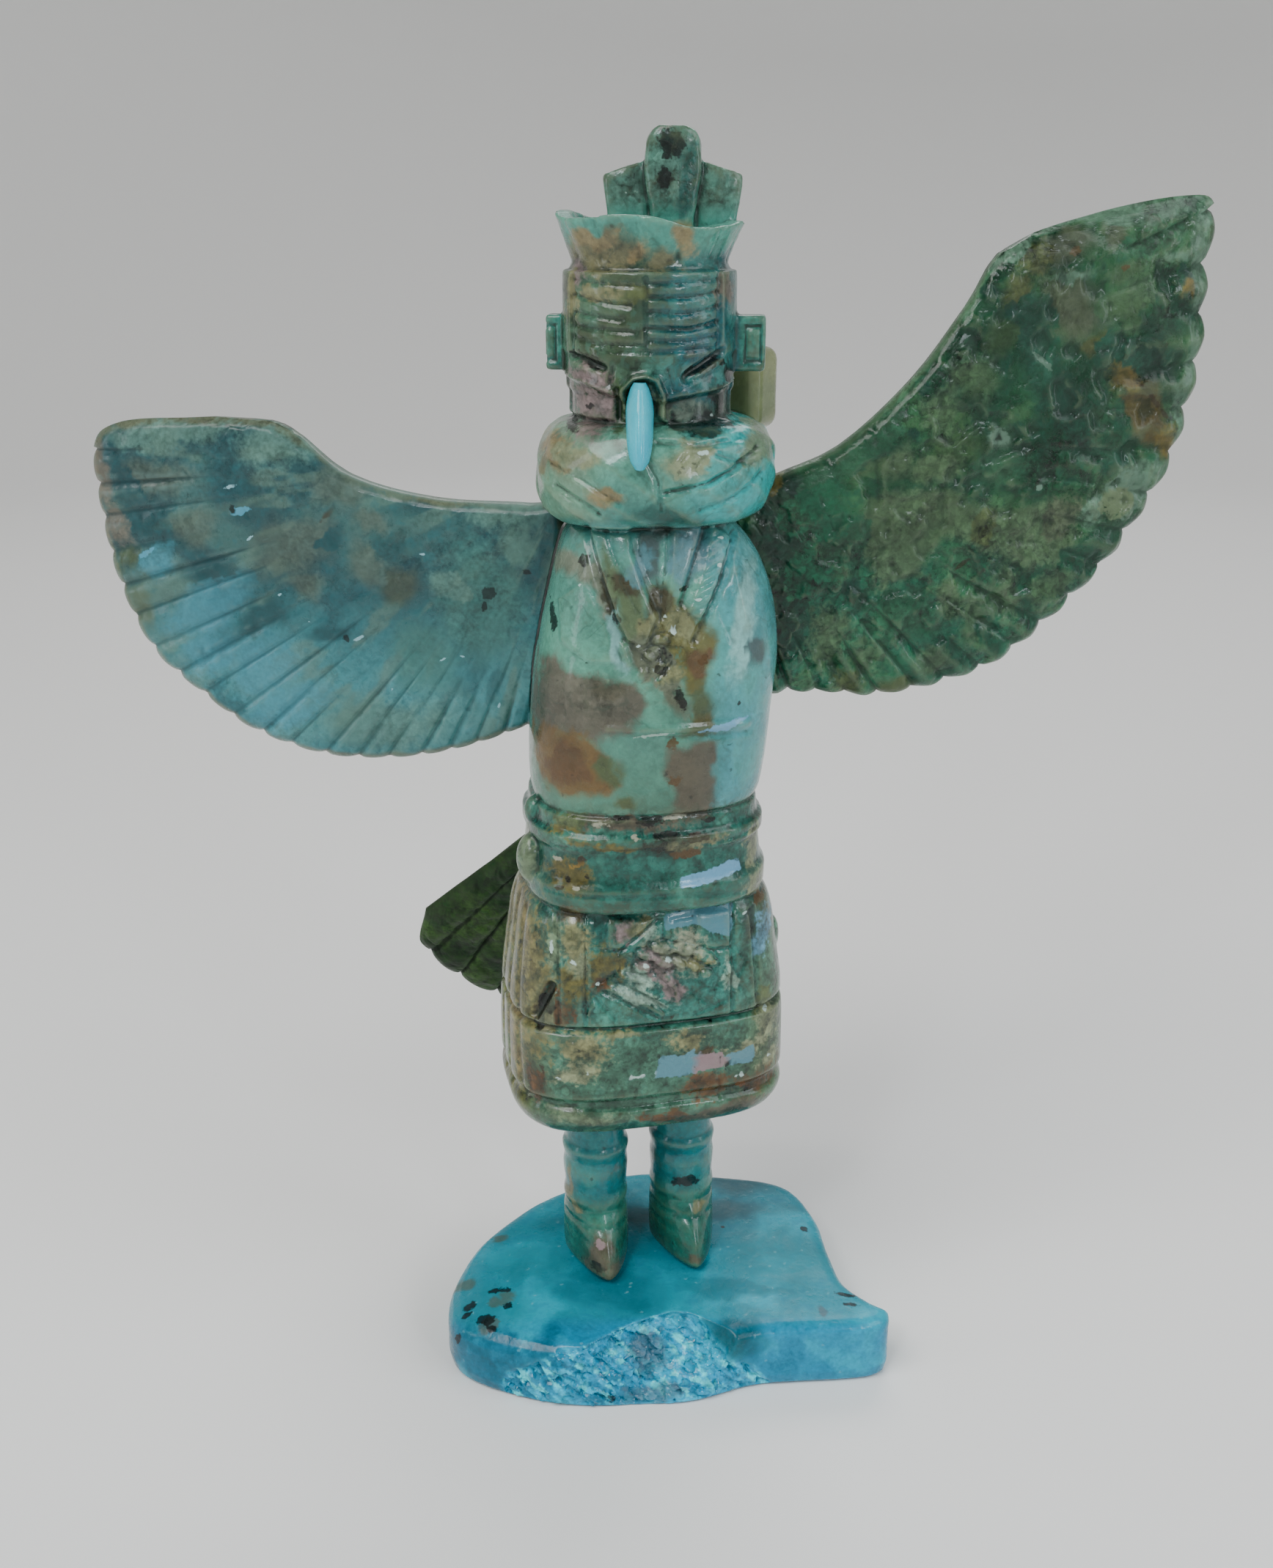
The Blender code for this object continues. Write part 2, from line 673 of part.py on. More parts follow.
# Wing outlines as shares of the span: along it from the shoulder, and down from it. Both start
# inside the body, which cuts them to fit.
LOW_WING_OUTLINE = (
    (-0.020, -0.001), (0.060, -0.004), (0.258, 0.011), (0.443, -0.013), (0.610, -0.100), (0.829, -0.078),
    (0.965, -0.048), (1.014, 0.010), (0.996, 0.150), (0.952, 0.307), (0.872, 0.446), (0.752, 0.533),
    (0.630, 0.598), (0.474, 0.628), (0.325, 0.614), (0.180, 0.572), (0.037, 0.500), (-0.040, 0.440),
    (-0.030, 0.200),
)
HIGH_WING_OUTLINE = (
    (-0.100, 0.030), (0.000, 0.000), (0.156, 0.015), (0.337, -0.024), (0.491, -0.091), (0.612, -0.150),
    (0.797, -0.117), (0.970, -0.057), (1.020, -0.010), (0.966, 0.090), (0.884, 0.245), (0.768, 0.385),
    (0.650, 0.468), (0.512, 0.532), (0.290, 0.583), (0.150, 0.567), (0.000, 0.510), (-0.085, 0.450),
    (-0.160, 0.402), (-0.280, 0.330),
)
WING_FOCUS = Vector((-0.075, -0.150))
WRIST_MARGIN = math.radians(0.3)
NOTCH = 0.010


def ray_crossings(origin, angle, outline):
    """Distances at which a ray in the plane crosses a closed outline, nearest first."""
    way = Vector((math.cos(angle), math.sin(angle)))
    found = []
    for a, b in zip(outline, outline[1:] + outline[:1]):
        edge = b - a
        turn = way.x * edge.y - way.y * edge.x
        if abs(turn) < 1e-12:
            continue
        gap = a - origin
        along = (gap.x * edge.y - gap.y * edge.x) / turn
        share = (gap.x * way.y - gap.y * way.x) / turn
        if 0 <= share < 1 and along > 0:
            found.append(along)
    return sorted(found)


def fan_mesh(name, columns, shares, thickness, relief, camber, reach):
    """A blade of overlapping feathers in its own plane: x along it, z up, y its thickness.

    A column is (origin, angle down from +x, inner radius, outer radius, 1 on a feather's raised edge
    or 0 in the groove beside it).
    """
    front, back = [], []
    for origin, angle, inner, outer, crest in columns:
        front_column, back_column = [], []
        for share in shares:
            radius = inner + share * (outer - inner)
            x = origin.x + radius * math.cos(angle)
            z = -(origin.y + radius * math.sin(angle))
            half = thickness / 2 * (1 - 0.38 * share) * (0.62 if share == 0 else 1.0)
            groove = (1 - crest) * relief * smooth_step((share - 0.35) / 0.4)
            bend = camber * (radius / reach) ** 2
            front_column.append(Vector((x, bend - half + groove, z)))
            back_column.append(Vector((x, bend + half - 0.6 * groove, z)))
        front.append(front_column)
        back.append(back_column)
    rows = [a + b[::-1] for a, b in zip(front, back)]
    return grid_mesh(name, rows)


def feather_columns(origin, edge, start, end, feathers, radii):
    """Plain columns from the edge to the first feather, then two for each feather: groove and raised edge."""
    columns = []
    lead = 3
    for number in range(lead):
        angle = edge + (start - edge) * number / lead
        columns.append((origin, angle, *radii(angle), 1))
    for number in range(2 * feathers + 1):
        feather, crest = divmod(number, 2)
        share = (feather + 0.3 * crest) / feathers
        angle = start + (end - start) * share
        inner, outer = radii(angle)
        tip = outer - (0 if crest else NOTCH * outer)
        columns.append((origin, angle, inner, tip, crest))
    return columns


def wing_mesh(name, outline_shares, span, first_angle, last_angle):
    outline = smooth_closed([Vector(point) * span for point in outline_shares], 6)
    focus = WING_FOCUS * span
    wrist_angle = min(math.atan2(point.y - focus.y, point.x - focus.x) for point in outline)
    edge_angle = wrist_angle + WRIST_MARGIN

    def radii(angle):
        crossings = ray_crossings(focus, angle, outline)
        return crossings[0], crossings[-1]

    first, last = math.radians(first_angle), math.radians(last_angle)
    columns = feather_columns(focus, edge_angle, first, last, WING_FEATHERS, radii)
    shares = (0.0, 0.05, 0.35, 0.6, 0.8, 0.94, 1.0)
    return fan_mesh(name, columns, shares, WING_THICKNESS, FEATHER_RELIEF, WING_CAMBER, span)


def fit_to_figure(obj, name):
    """Cuts away the room that the dancer needs."""
    room = new_collection(f"{name} room")
    helper(f"{name} room", column_mesh(f"{name} room", TOUCH_GAP), room)
    boolean(obj, "DIFFERENCE", room)


def build_wings():
    shoulder = RUFF_BOTTOM
    low = wing_mesh("wing_lowered", LOW_WING_OUTLINE, LOW_WING_SPAN, 8.5, 86)
    lift = Matrix.Rotation(-LOW_WING_RAISE, 4, "Y")
    low.transform(Matrix.Rotation(LOW_WING_SWEEP, 4, "Z") @ lift)
    low.transform(Matrix.Scale(-1, 4, Vector((1, 0, 0))))
    low.flip_normals()
    low.transform(Matrix.Translation((-0.39 * TORSO_WIDTH, 0.13 * TORSO_DEPTH, shoulder + LOW_SHOULDER_RISE)))
    wing = add_object("wing_lowered", low, stone("blue_green_turquoise", (0.12, 0.28, 0.30), 0.4))
    fit_to_figure(wing, "wing_lowered")
    high = wing_mesh("wing_raised", HIGH_WING_OUTLINE, HIGH_WING_SPAN, 7.4, 108)
    high.transform(Matrix.Rotation(HIGH_WING_SWEEP, 4, "Z") @ Matrix.Rotation(-HIGH_WING_RAISE, 4, "Y"))
    high.transform(Matrix.Translation((0.487 * TORSO_WIDTH, 0.26 * TORSO_DEPTH, shoulder + HIGH_SHOULDER_RISE)))
    wing = add_object("wing_raised", high, stone("dark_green_turquoise", (0.05, 0.20, 0.13), 0.4))
    fit_to_figure(wing, "wing_raised")


def build_tail():
    origin = Vector((0, 0))

    def radii(angle):
        aside = abs(angle - math.pi / 2) / TAIL_SPREAD
        rounding = 0.07 * TAIL_SIDE * smooth_step((aside - 0.86) / 0.14)
        outer = TAIL_LENGTH - (TAIL_LENGTH - TAIL_SIDE) * aside**2.4 - rounding
        return 0.08 * TAIL_LENGTH, outer

    first = math.pi / 2 - TAIL_SPREAD
    last = math.pi / 2 + TAIL_SPREAD
    columns = feather_columns(origin, first, first + 0.1 * TAIL_SPREAD, last, TAIL_FEATHERS, radii)
    mesh = fan_mesh("tail", columns, (0.0, 0.1, 0.5, 0.85, 1.0), TAIL_THICKNESS, FEATHER_RELIEF, 0.0, TAIL_LENGTH)
    mesh.transform(Matrix.Rotation(TAIL_SKEW, 4, "Y"))
    mesh.transform(Matrix.Rotation(TAIL_SLOPE, 4, "X"))
    back = surface_point(belt_rings(), WAIST, math.pi)
    mesh.transform(Matrix.Translation((back.x - TAIL_SHIFT, back.y - TAIL_FORWARD, WAIST - TAIL_DROP)))
    tail = add_object("tail", mesh, stone("tail_turquoise", (0.04, 0.14, 0.09), 0.35))
    fit_to_figure(tail, "tail")


def build_beak():
    """A long drop from under the brow arch, hanging over the ruff."""
    head = head_rings()
    top = surface_point(head, HEAD_BOTTOM + 0.28 * HEAD_HEIGHT, math.radians(-2), 0.0)
    shape = (
        (0.0, 0.45, 0.9, 0.0), (0.08, 0.7, 1.4, 0.0), (0.35, 1.0, 1.9, 0.08), (0.65, 0.95, 1.7, 0.22),
        (0.9, 0.7, 1.2, 0.36), (1.0, 0.35, 0.7, 0.42),
    )
    sides = 8
    rows = []
    for down, wide, deep, forward in shape:
        row = []
        for i in range(sides):
            angle = 2 * math.pi * (i + 0.5) / sides
            row.append(top + Vector((
                wide * BEAK_WIDTH / 2 * math.cos(angle),
                deep * BEAK_WIDTH / 2 * math.sin(angle) - forward * BEAK_LENGTH,
                -down * BEAK_LENGTH,
            )))
        rows.append(row)
    beak = add_object("beak", grid_mesh("beak", rows), stone("sky_blue_stone", (0.25, 0.55, 0.66), 0.25))
    fit_to_figure(beak, "beak")


def build_block():
    """The olive block behind the head, on the right, resting on the ruff."""
    z = HEAD_BOTTOM + 0.2 * BLOCK_HEIGHT
    place = surface_point(head_rings(), z, math.pi + BLOCK_TURN - HEAD_TURN, BLOCK_THICKNESS / 2)
    matrix = Matrix.Translation((place.x + BLOCK_SHIFT, place.y, z)) @ Matrix.Rotation(BLOCK_TURN, 4, "Z")
    mesh = block_mesh("nape_block", (BLOCK_WIDTH, BLOCK_THICKNESS, BLOCK_HEIGHT), matrix)
    block = add_object("nape_block", mesh, stone("olive_stone", (0.35, 0.33, 0.16), 0.3))
    bevel = block.modifiers.new("rounded edges", "BEVEL")
    bevel.width = BLOCK_EDGE
    bevel.segments = 2
    fit_to_figure(block, "nape_block")


def main():
    clear_scene()
    build_base()
    build_figure()
    build_wings()
    build_tail()
    build_beak()
    build_block()


main()
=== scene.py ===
"""The winged dancer carved in turquoise stones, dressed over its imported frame.

Metres, in the row frame: +Z up, the dancer faces -Y. Left and right are the viewer's. Carving and
patches of colour are given in millimetres, as (x, z) on the front or as (degrees from the front, z).
"""

import math

import bmesh
import bpy
import numpy as np
from mathutils import Matrix, Vector


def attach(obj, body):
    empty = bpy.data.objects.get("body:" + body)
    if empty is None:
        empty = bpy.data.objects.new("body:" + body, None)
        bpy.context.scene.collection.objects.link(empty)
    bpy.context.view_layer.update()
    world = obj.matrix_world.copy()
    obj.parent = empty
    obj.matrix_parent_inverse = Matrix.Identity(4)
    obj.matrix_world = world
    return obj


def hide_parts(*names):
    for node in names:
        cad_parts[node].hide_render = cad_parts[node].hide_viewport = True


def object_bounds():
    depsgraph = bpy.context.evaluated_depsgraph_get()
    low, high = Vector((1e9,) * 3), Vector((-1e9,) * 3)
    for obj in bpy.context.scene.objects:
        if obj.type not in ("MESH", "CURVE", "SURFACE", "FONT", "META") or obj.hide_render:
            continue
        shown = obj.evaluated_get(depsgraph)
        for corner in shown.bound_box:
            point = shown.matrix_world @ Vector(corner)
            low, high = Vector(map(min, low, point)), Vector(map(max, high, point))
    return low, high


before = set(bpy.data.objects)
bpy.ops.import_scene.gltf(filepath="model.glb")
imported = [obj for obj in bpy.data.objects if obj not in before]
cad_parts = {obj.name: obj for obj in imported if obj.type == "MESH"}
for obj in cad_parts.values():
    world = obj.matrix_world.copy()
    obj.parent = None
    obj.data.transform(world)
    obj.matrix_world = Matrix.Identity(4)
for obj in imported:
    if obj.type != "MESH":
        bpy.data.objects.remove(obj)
CAD_LOW, CAD_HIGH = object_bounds()

MM = 0.001
TOUCH_GAP = 0.0003

# The slab.
BASE_LENGTH = 0.0420
BASE_DEPTH = 0.0283
BASE_THICKNESS = 0.0065
BASE_EDGE = 0.0011
BREAK_LENGTH = 0.0180
BREAK_DEPTH = 0.0062
CUT_MARGIN = 0.0004
CORNER_ROUNDING = 2.4

# The dancer.
BOOT_HEIGHT = 0.0174
BOOT_WIDTH = 0.0062
BOOT_TOE = 0.0067
BOOT_SHIFT = -0.0001
BOOT_FOLD = 0.0001
STANCE = 0.0086
KILT_HEIGHT = 0.0218
KILT_WIDTH = 0.0257
KILT_DEPTH = 0.0196
KILT_HEM = 0.0026
BELT_HEIGHT = 0.0090
BELT_WIDTH = 0.0217
BELT_DEPTH = 0.0190
TORSO_HEIGHT = 0.0240
TORSO_WIDTH = 0.0210
TORSO_DEPTH = 0.0180
RUFF_HEIGHT = 0.0086
RUFF_WIDTH = 0.0203
RUFF_DEPTH = 0.0188
HEAD_HEIGHT = 0.0116
HEAD_WIDTH = 0.0139
CROWN_HEIGHT = 0.0037
CROWN_WIDTH = 0.0152
FEATHER_HEIGHT = 0.0070
FEATHER_THICKNESS = 0.0026
FEATHER_X = 0.0018
FEATHER_SPACING = 0.0032
FEATHER_LEAN = 0.0007
SIDE_FEATHER = 0.56
KILT_TURN = math.radians(13)
BELT_TURN = math.radians(11)
TORSO_TURN = math.radians(7)
HEAD_TURN = math.radians(-5)
KILT_X = -0.0008
BELT_X = -0.0007
CHEST_X = 0.0008
RUFF_X = 0.0005
RUFF_TILT = math.radians(3)
CROWN_SLOPE = 0.06

# Wings, tail, beak and block.
LOW_WING_SPAN = 0.0411
LOW_WING_RAISE = math.radians(6.8)
LOW_WING_SWEEP = math.radians(6)
HIGH_WING_SPAN = 0.0452
HIGH_WING_RAISE = math.radians(28.9)
HIGH_WING_SWEEP = math.radians(10)
WING_THICKNESS = 0.0030
WING_CAMBER = 0.0012
WING_FEATHERS = 20
FEATHER_RELIEF = 0.00045
TAIL_LENGTH = 0.0372
TAIL_SIDE = 0.0308
TAIL_THICKNESS = 0.0022
TAIL_SPREAD = math.radians(36)
TAIL_SKEW = math.radians(8)
TAIL_SLOPE = math.radians(25)
TAIL_FEATHERS = 9
BEAK_LENGTH = 0.0064
BEAK_WIDTH = 0.0023
BLOCK_WIDTH = 0.0088
BLOCK_THICKNESS = 0.0048
BLOCK_HEIGHT = 0.0070
BLOCK_SHIFT = 0.0019
BLOCK_EDGE = 0.0012
BLOCK_WEAR_SIZE, BLOCK_WEAR_DEPTH = 0.003, 0.00012
BLOCK_TURN = math.radians(-30)

SOLE = BASE_THICKNESS + TOUCH_GAP
KILT_BOTTOM = SOLE + BOOT_HEIGHT
BELT_BOTTOM = KILT_BOTTOM + KILT_HEIGHT
WAIST = BELT_BOTTOM + BELT_HEIGHT
RUFF_BOTTOM = WAIST + TORSO_HEIGHT
HEAD_BOTTOM = RUFF_BOTTOM + RUFF_HEIGHT
CROWN_BOTTOM = HEAD_BOTTOM + HEAD_HEIGHT
CROWN_TOP = CROWN_BOTTOM + CROWN_HEIGHT

LOW_SHOULDER_RISE = 0.0002
HIGH_SHOULDER_RISE = 0.0023
LOW_ROOT = (-0.39 * TORSO_WIDTH, 0.13 * TORSO_DEPTH, RUFF_BOTTOM + LOW_SHOULDER_RISE)
HIGH_ROOT = (0.487 * TORSO_WIDTH, 0.26 * TORSO_DEPTH, RUFF_BOTTOM + HIGH_SHOULDER_RISE)

# How fine the meshes are.
FIGURE_VOXEL = 0.00015
FIGURE_TRIANGLES = 192000
SLAB_VOXEL = 0.00019
SLAB_TRIANGLES = 120000
BLOCK_VOXEL = 0.00016

# How finely the dancer's column is drawn: metres up it, and points round it.
COLUMN_STEP = 0.00016
COLUMN_ANGLES = 520

def smooth_step(value):
    value = np.clip(value, 0.0, 1.0)
    return value * value * (3 - 2 * value)

LATTICE_SIDE = 48
LATTICE = np.random.default_rng(7).random((LATTICE_SIDE,) * 3)

def noise(points, size, seed):
    """Smooth noise from 0 to 1 whose features have this size."""
    place = points / size + np.array((13.7, 5.3, 29.1)) * (seed + 1)
    cell = np.floor(place).astype(int)
    part = place - cell
    part = part * part * (3 - 2 * part)
    total = np.zeros(len(points))
    for corner in range(8):
        step = np.array((corner & 1, corner >> 1 & 1, corner >> 2))
        weight = np.prod(np.where(step, part, 1 - part), axis=1)
        x, y, z = ((cell + step) % LATTICE_SIDE).T
        total += weight * LATTICE[x, y, z]
    return total

def fractal(points, size, octaves, seed):
    """Noise from 0 to 1 with finer octaves laid over the first."""
    total, weights = 0.0, 0.0
    for octave in range(octaves):
        total = total + noise(points, size / 2**octave, seed + octave) * 0.5**octave
        weights += 0.5**octave
    return total / weights

def waver(points, size, octaves, seed):
    """The same noise, about 0."""
    return fractal(points, size, octaves, seed) - 0.5

def cells(points, size, seed):
    """Distance from the border of each point's cell, the cell's number and the height on its tilted plane."""
    place = points / size
    cell = np.floor(place).astype(int)
    first = np.full(len(points), 9.0)
    second = np.full(len(points), 9.0)
    number = np.zeros(len(points))
    plane = np.zeros(len(points))
    for corner in range(27):
        step = np.array((corner % 3, corner // 3 % 3, corner // 9)) - 1
        there = cell + step
        index = (there + seed * 11) % LATTICE_SIDE
        x, y, z = index.T
        jitter = np.stack([LATTICE[x, y, z], LATTICE[y, z, x], LATTICE[z, x, y]], axis=1)
        away = there + jitter - place
        far = np.linalg.norm(away, axis=1)
        nearer = far < first
        plane = np.where(nearer, 2 * (away * (jitter[:, (1, 2, 0)] - 0.5)).sum(axis=1), plane)
        second = np.where(nearer, first, np.minimum(second, far))
        number = np.where(nearer, LATTICE[(x + 5) % LATTICE_SIDE, y, z], number)
        first = np.where(nearer, far, first)
    return second - first, number, plane

def path_distance(a, b, path):
    """Distance in the (a, b) plane to a line through the path's points."""
    best = np.full(np.shape(a), 1e9)
    for (a0, b0), (a1, b1) in zip(path, path[1:]):
        da, db = a1 - a0, b1 - b0
        t = np.clip(((a - a0) * da + (b - b0) * db) / (da * da + db * db), 0, 1)
        best = np.minimum(best, np.hypot(a - a0 - t * da, b - b0 - t * db))
    return best

def area_depth(a, b, corners):
    """Distance inside a polygon's border, negative outside it."""
    inside = np.zeros(np.shape(a), bool)
    closed = list(corners) + [corners[0]]
    for (a0, b0), (a1, b1) in zip(closed, closed[1:]):
        if b0 != b1:
            crosses = ((b0 > b) != (b1 > b)) & (a < (a1 - a0) * (b - b0) / (b1 - b0) + a0)
            inside ^= crosses
    away = path_distance(a, b, closed)
    return np.where(inside, away, -away)

def hump(distance, half_width):
    """1 on a line, falling smoothly to 0 at this distance from it."""
    return smooth_step(1 - distance / half_width)

def between(value, low, high, rise, fall):
    """1 between low and high, falling smoothly to 0 at them over these widths."""
    return smooth_step((value - low) / rise) * smooth_step((high - value) / fall)

def oval(a, b, centre_a, centre_b, half_a, half_b, degrees=0):
    """Distance from the middle of a turned oval, 1 at its border."""
    c, s = math.cos(math.radians(degrees)), math.sin(math.radians(degrees))
    u = ((a - centre_a) * c + (b - centre_b) * s) / half_a
    v = ((b - centre_b) * c - (a - centre_a) * s) / half_b
    return np.sqrt(u * u + v * v)

def angles_round(count, start=0.0):
    """Angles all the way round, as a row."""
    return np.linspace(start, start + 2 * math.pi, count, endpoint=False)[None, :]

def monotone(s, values, at):
    """A smooth curve through the columns of values, without overshoot."""
    gap = np.diff(s)[:, None]
    slope = np.diff(values, axis=0) / gap
    tangent = np.zeros_like(values)
    left, right = slope[:-1], slope[1:]
    same = left * right > 0
    w1, w2 = 2 * gap[1:] + gap[:-1], gap[1:] + 2 * gap[:-1]
    safe_left, safe_right = np.where(same, left, 1), np.where(same, right, 1)
    tangent[1:-1] = np.where(same, (w1 + w2) / (w1 / safe_left + w2 / safe_right), 0)
    tangent[0], tangent[-1] = slope[0], slope[-1]
    k = np.clip(np.searchsorted(s, at, side="right") - 1, 0, len(s) - 2)
    h = gap[k]
    t = (at - s[k])[:, None] / h
    return (
        (2 * t**3 - 3 * t**2 + 1) * values[k]
        + (t**3 - 2 * t**2 + t) * h * tangent[k]
        + (3 * t**2 - 2 * t**3) * values[k + 1]
        + (t**3 - t**2) * h * tangent[k + 1]
    )

def smooth_closed(points, steps):
    """A closed Catmull-Rom curve through the points, each pair joined in so many steps."""
    points = np.asarray(points, float)
    a, b, c, d = (np.roll(points, 1 - k, axis=0)[:, None] for k in range(4))
    t = (np.arange(steps) / steps)[None, :, None]
    curve = 2 * b + (c - a) * t + (2 * a - 5 * b + 4 * c - d) * t**2 + (3 * b - a - 3 * c + d) * t**3
    curve = 0.5 * curve
    return curve.reshape(-1, points.shape[1])

def tube(name, rows):
    """A closed mesh from rings of points, an array of (ring, around, xyz), capped at both ends."""
    rings, around = rows.shape[:2]
    index = np.arange(rings * around).reshape(rings, around)
    lower, upper = index[:-1], index[1:]
    quads = np.stack([lower, np.roll(lower, -1, 1), np.roll(upper, -1, 1), upper], axis=-1)
    faces = quads.reshape(-1, 4).tolist() + [index[0, ::-1].tolist(), index[-1].tolist()]
    mesh = bpy.data.meshes.new(name)
    mesh.from_pydata(rows.reshape(-1, 3).tolist(), [], faces)
    bm = bmesh.new()
    bm.from_mesh(mesh)
    bmesh.ops.recalc_face_normals(bm, faces=bm.faces)
    bm.to_mesh(mesh)
    bm.free()
    return mesh

def add_object(name, data):
    obj = bpy.data.objects.new(name, data)
    bpy.context.scene.collection.objects.link(obj)
    return obj

def built(name, bm):
    """The mesh of what was built in bm, which is freed."""
    mesh = bpy.data.meshes.new(name)
    bm.to_mesh(mesh)
    bm.free()
    return mesh

def joined(name, meshes):
    """One mesh of all these meshes' faces."""
    bm = bmesh.new()
    for mesh in meshes:
        bm.from_mesh(mesh)
        bpy.data.meshes.remove(mesh)
    return built(name, bm)

def apply_modifiers(obj):
    depsgraph = bpy.context.evaluated_depsgraph_get()
    made = bpy.data.meshes.new_from_object(obj.evaluated_get(depsgraph))
    obj.modifiers.clear()
    obj.data = made

def remeshed(obj, voxel):
    modifier = obj.modifiers.new("skin", "REMESH")
    modifier.mode = "VOXEL"
    modifier.voxel_size = voxel
    apply_modifiers(obj)

def thinned(obj, triangles):
    """Collapses the edges that matter least, down to about this many triangles."""
    obj.data.calc_loop_triangles()
    now = len(obj.data.loop_triangles)
    if now > triangles:
        modifier = obj.modifiers.new("thin", "DECIMATE")
        modifier.ratio = triangles / now
        apply_modifiers(obj)

def cut_away(obj, mesh):
    """Cuts a closed mesh's room out of the object."""
    cutter = add_object(f"{obj.name} room", mesh)
    modifier = obj.modifiers.new("cut", "BOOLEAN")
    modifier.operation = "DIFFERENCE"
    modifier.solver = "EXACT"
    modifier.object = cutter
    apply_modifiers(obj)
    bpy.data.objects.remove(cutter)

def points_of(mesh, key="co"):
    values = np.empty(len(mesh.vertices) * 3)
    mesh.vertices.foreach_get(key, values)
    return values.reshape(-1, 3)

def normals_of(mesh):
    return points_of(mesh, "normal")

def move_points(mesh, points):
    """Sets the vertices, kept inside the solids' box."""
    inside = np.clip(points, np.array(CAD_LOW), np.array(CAD_HIGH))
    mesh.vertices.foreach_set("co", inside.ravel())
    mesh.update()

def neighbour_mean(mesh, values):
    """The mean of each vertex's neighbours' values."""
    ends = np.empty(len(mesh.edges) * 2, int)
    mesh.edges.foreach_get("vertices", ends)
    first, second = ends.reshape(-1, 2).T
    count = len(mesh.vertices)
    degree = np.bincount(first, minlength=count) + np.bincount(second, minlength=count)
    total = np.stack([
        np.bincount(first, values[second, k], count) + np.bincount(second, values[first, k], count)
        for k in range(values.shape[1])
    ], axis=1)
    return total / np.maximum(degree, 1)[:, None]

def hollows(mesh):
    """How far each vertex lies below its surroundings, along its normal: positive in a groove."""
    points = points_of(mesh)
    mean = points
    for _ in range(6):
        mean = neighbour_mean(mesh, mean)
    return ((mean - points) * normals_of(mesh)).sum(axis=1)

# The dancer's cross-sections, from the hem up: the same sizes as the solid's.
def ring_rows():
    """(z, half width, half depth, x, power, turn, tilt) for each ring."""
    rows = []
    hem = KILT_HEM / KILT_HEIGHT
    side = KILT_HEM / KILT_WIDTH
    for h, w in (
        (0.0, 1 - 2.2 * side), (0.3 * hem, 1 - 0.65 * side), (hem, 1.0), (0.18, 0.965), (0.215, 1.0),
        (0.49, 0.988), (0.515, 0.945), (0.54, 0.982), (0.78, 0.935), (0.95, 0.885), (1.0, 0.84),
    ):
        z = KILT_BOTTOM + h * KILT_HEIGHT
        half_depth = KILT_DEPTH / 2 - (1 - w) * KILT_WIDTH / 2
        rows.append((z, w * KILT_WIDTH / 2, half_depth, KILT_X, 3.4, KILT_TURN, 0))
    for h, w in (
        (0.03, 0.965), (0.10, 1.0), (0.26, 1.005), (0.36, 0.965), (0.63, 0.945), (0.68, 0.975),
        (0.78, 0.975), (0.84, 0.93), (0.97, 0.92), (1.0, 0.88),
    ):
        z = BELT_BOTTOM + h * BELT_HEIGHT
        rows.append((z, w * BELT_WIDTH / 2, w * BELT_DEPTH / 2, BELT_X, 2.8, BELT_TURN, 0))
    for h, w, d, s in (
        (0.01, 0.95, 0.98, -0.6), (0.10, 0.985, 1.0, -0.4), (0.28, 1.0, 1.0, 0.0), (0.46, 1.0, 0.98, 0.55),
        (0.62, 0.965, 0.93, 1.0), (0.75, 0.905, 0.89, 1.1), (0.86, 0.83, 0.83, 0.9),
        (0.94, 0.745, 0.77, 0.5), (0.985, 0.675, 0.73, 0.25),
    ):
        z = WAIST + h * TORSO_HEIGHT
        rows.append((z, w * TORSO_WIDTH / 2, d * TORSO_DEPTH / 2, s * CHEST_X, 2.5, TORSO_TURN, 0))
    for h, w in (
        (0.0, 0.68), (0.06, 0.85), (0.22, 0.965), (0.44, 1.0), (0.66, 0.985), (0.84, 0.92), (0.95, 0.80),
        (1.0, 0.66),
    ):
        tilt = RUFF_TILT * math.sin(math.pi * min(h + 0.1, 1.0))
        z = RUFF_BOTTOM + h * RUFF_HEIGHT
        rows.append((z, w * RUFF_WIDTH / 2, w * RUFF_DEPTH / 2, RUFF_X, 2.3, 0, tilt))
    half = HEAD_WIDTH / 2
    for h, w in ((0.02, 0.965), (0.17, 0.965), (0.20, 1.0), (0.985, 0.985), (1.0, 0.90)):
        rows.append((HEAD_BOTTOM + h * HEAD_HEIGHT, w * half, w * half, 0, 2.3, HEAD_TURN, 0))
    half = CROWN_WIDTH / 2
    for h, w in ((0.12, 0.825), (0.45, 0.88), (0.80, 0.955), (1.0, 1.0), (1.0, 0.86), (0.62, 0.76)):
        rows.append((CROWN_BOTTOM + h * CROWN_HEIGHT, w * half, w * half, 0, 2.2, HEAD_TURN, 0))
    return np.array(rows)

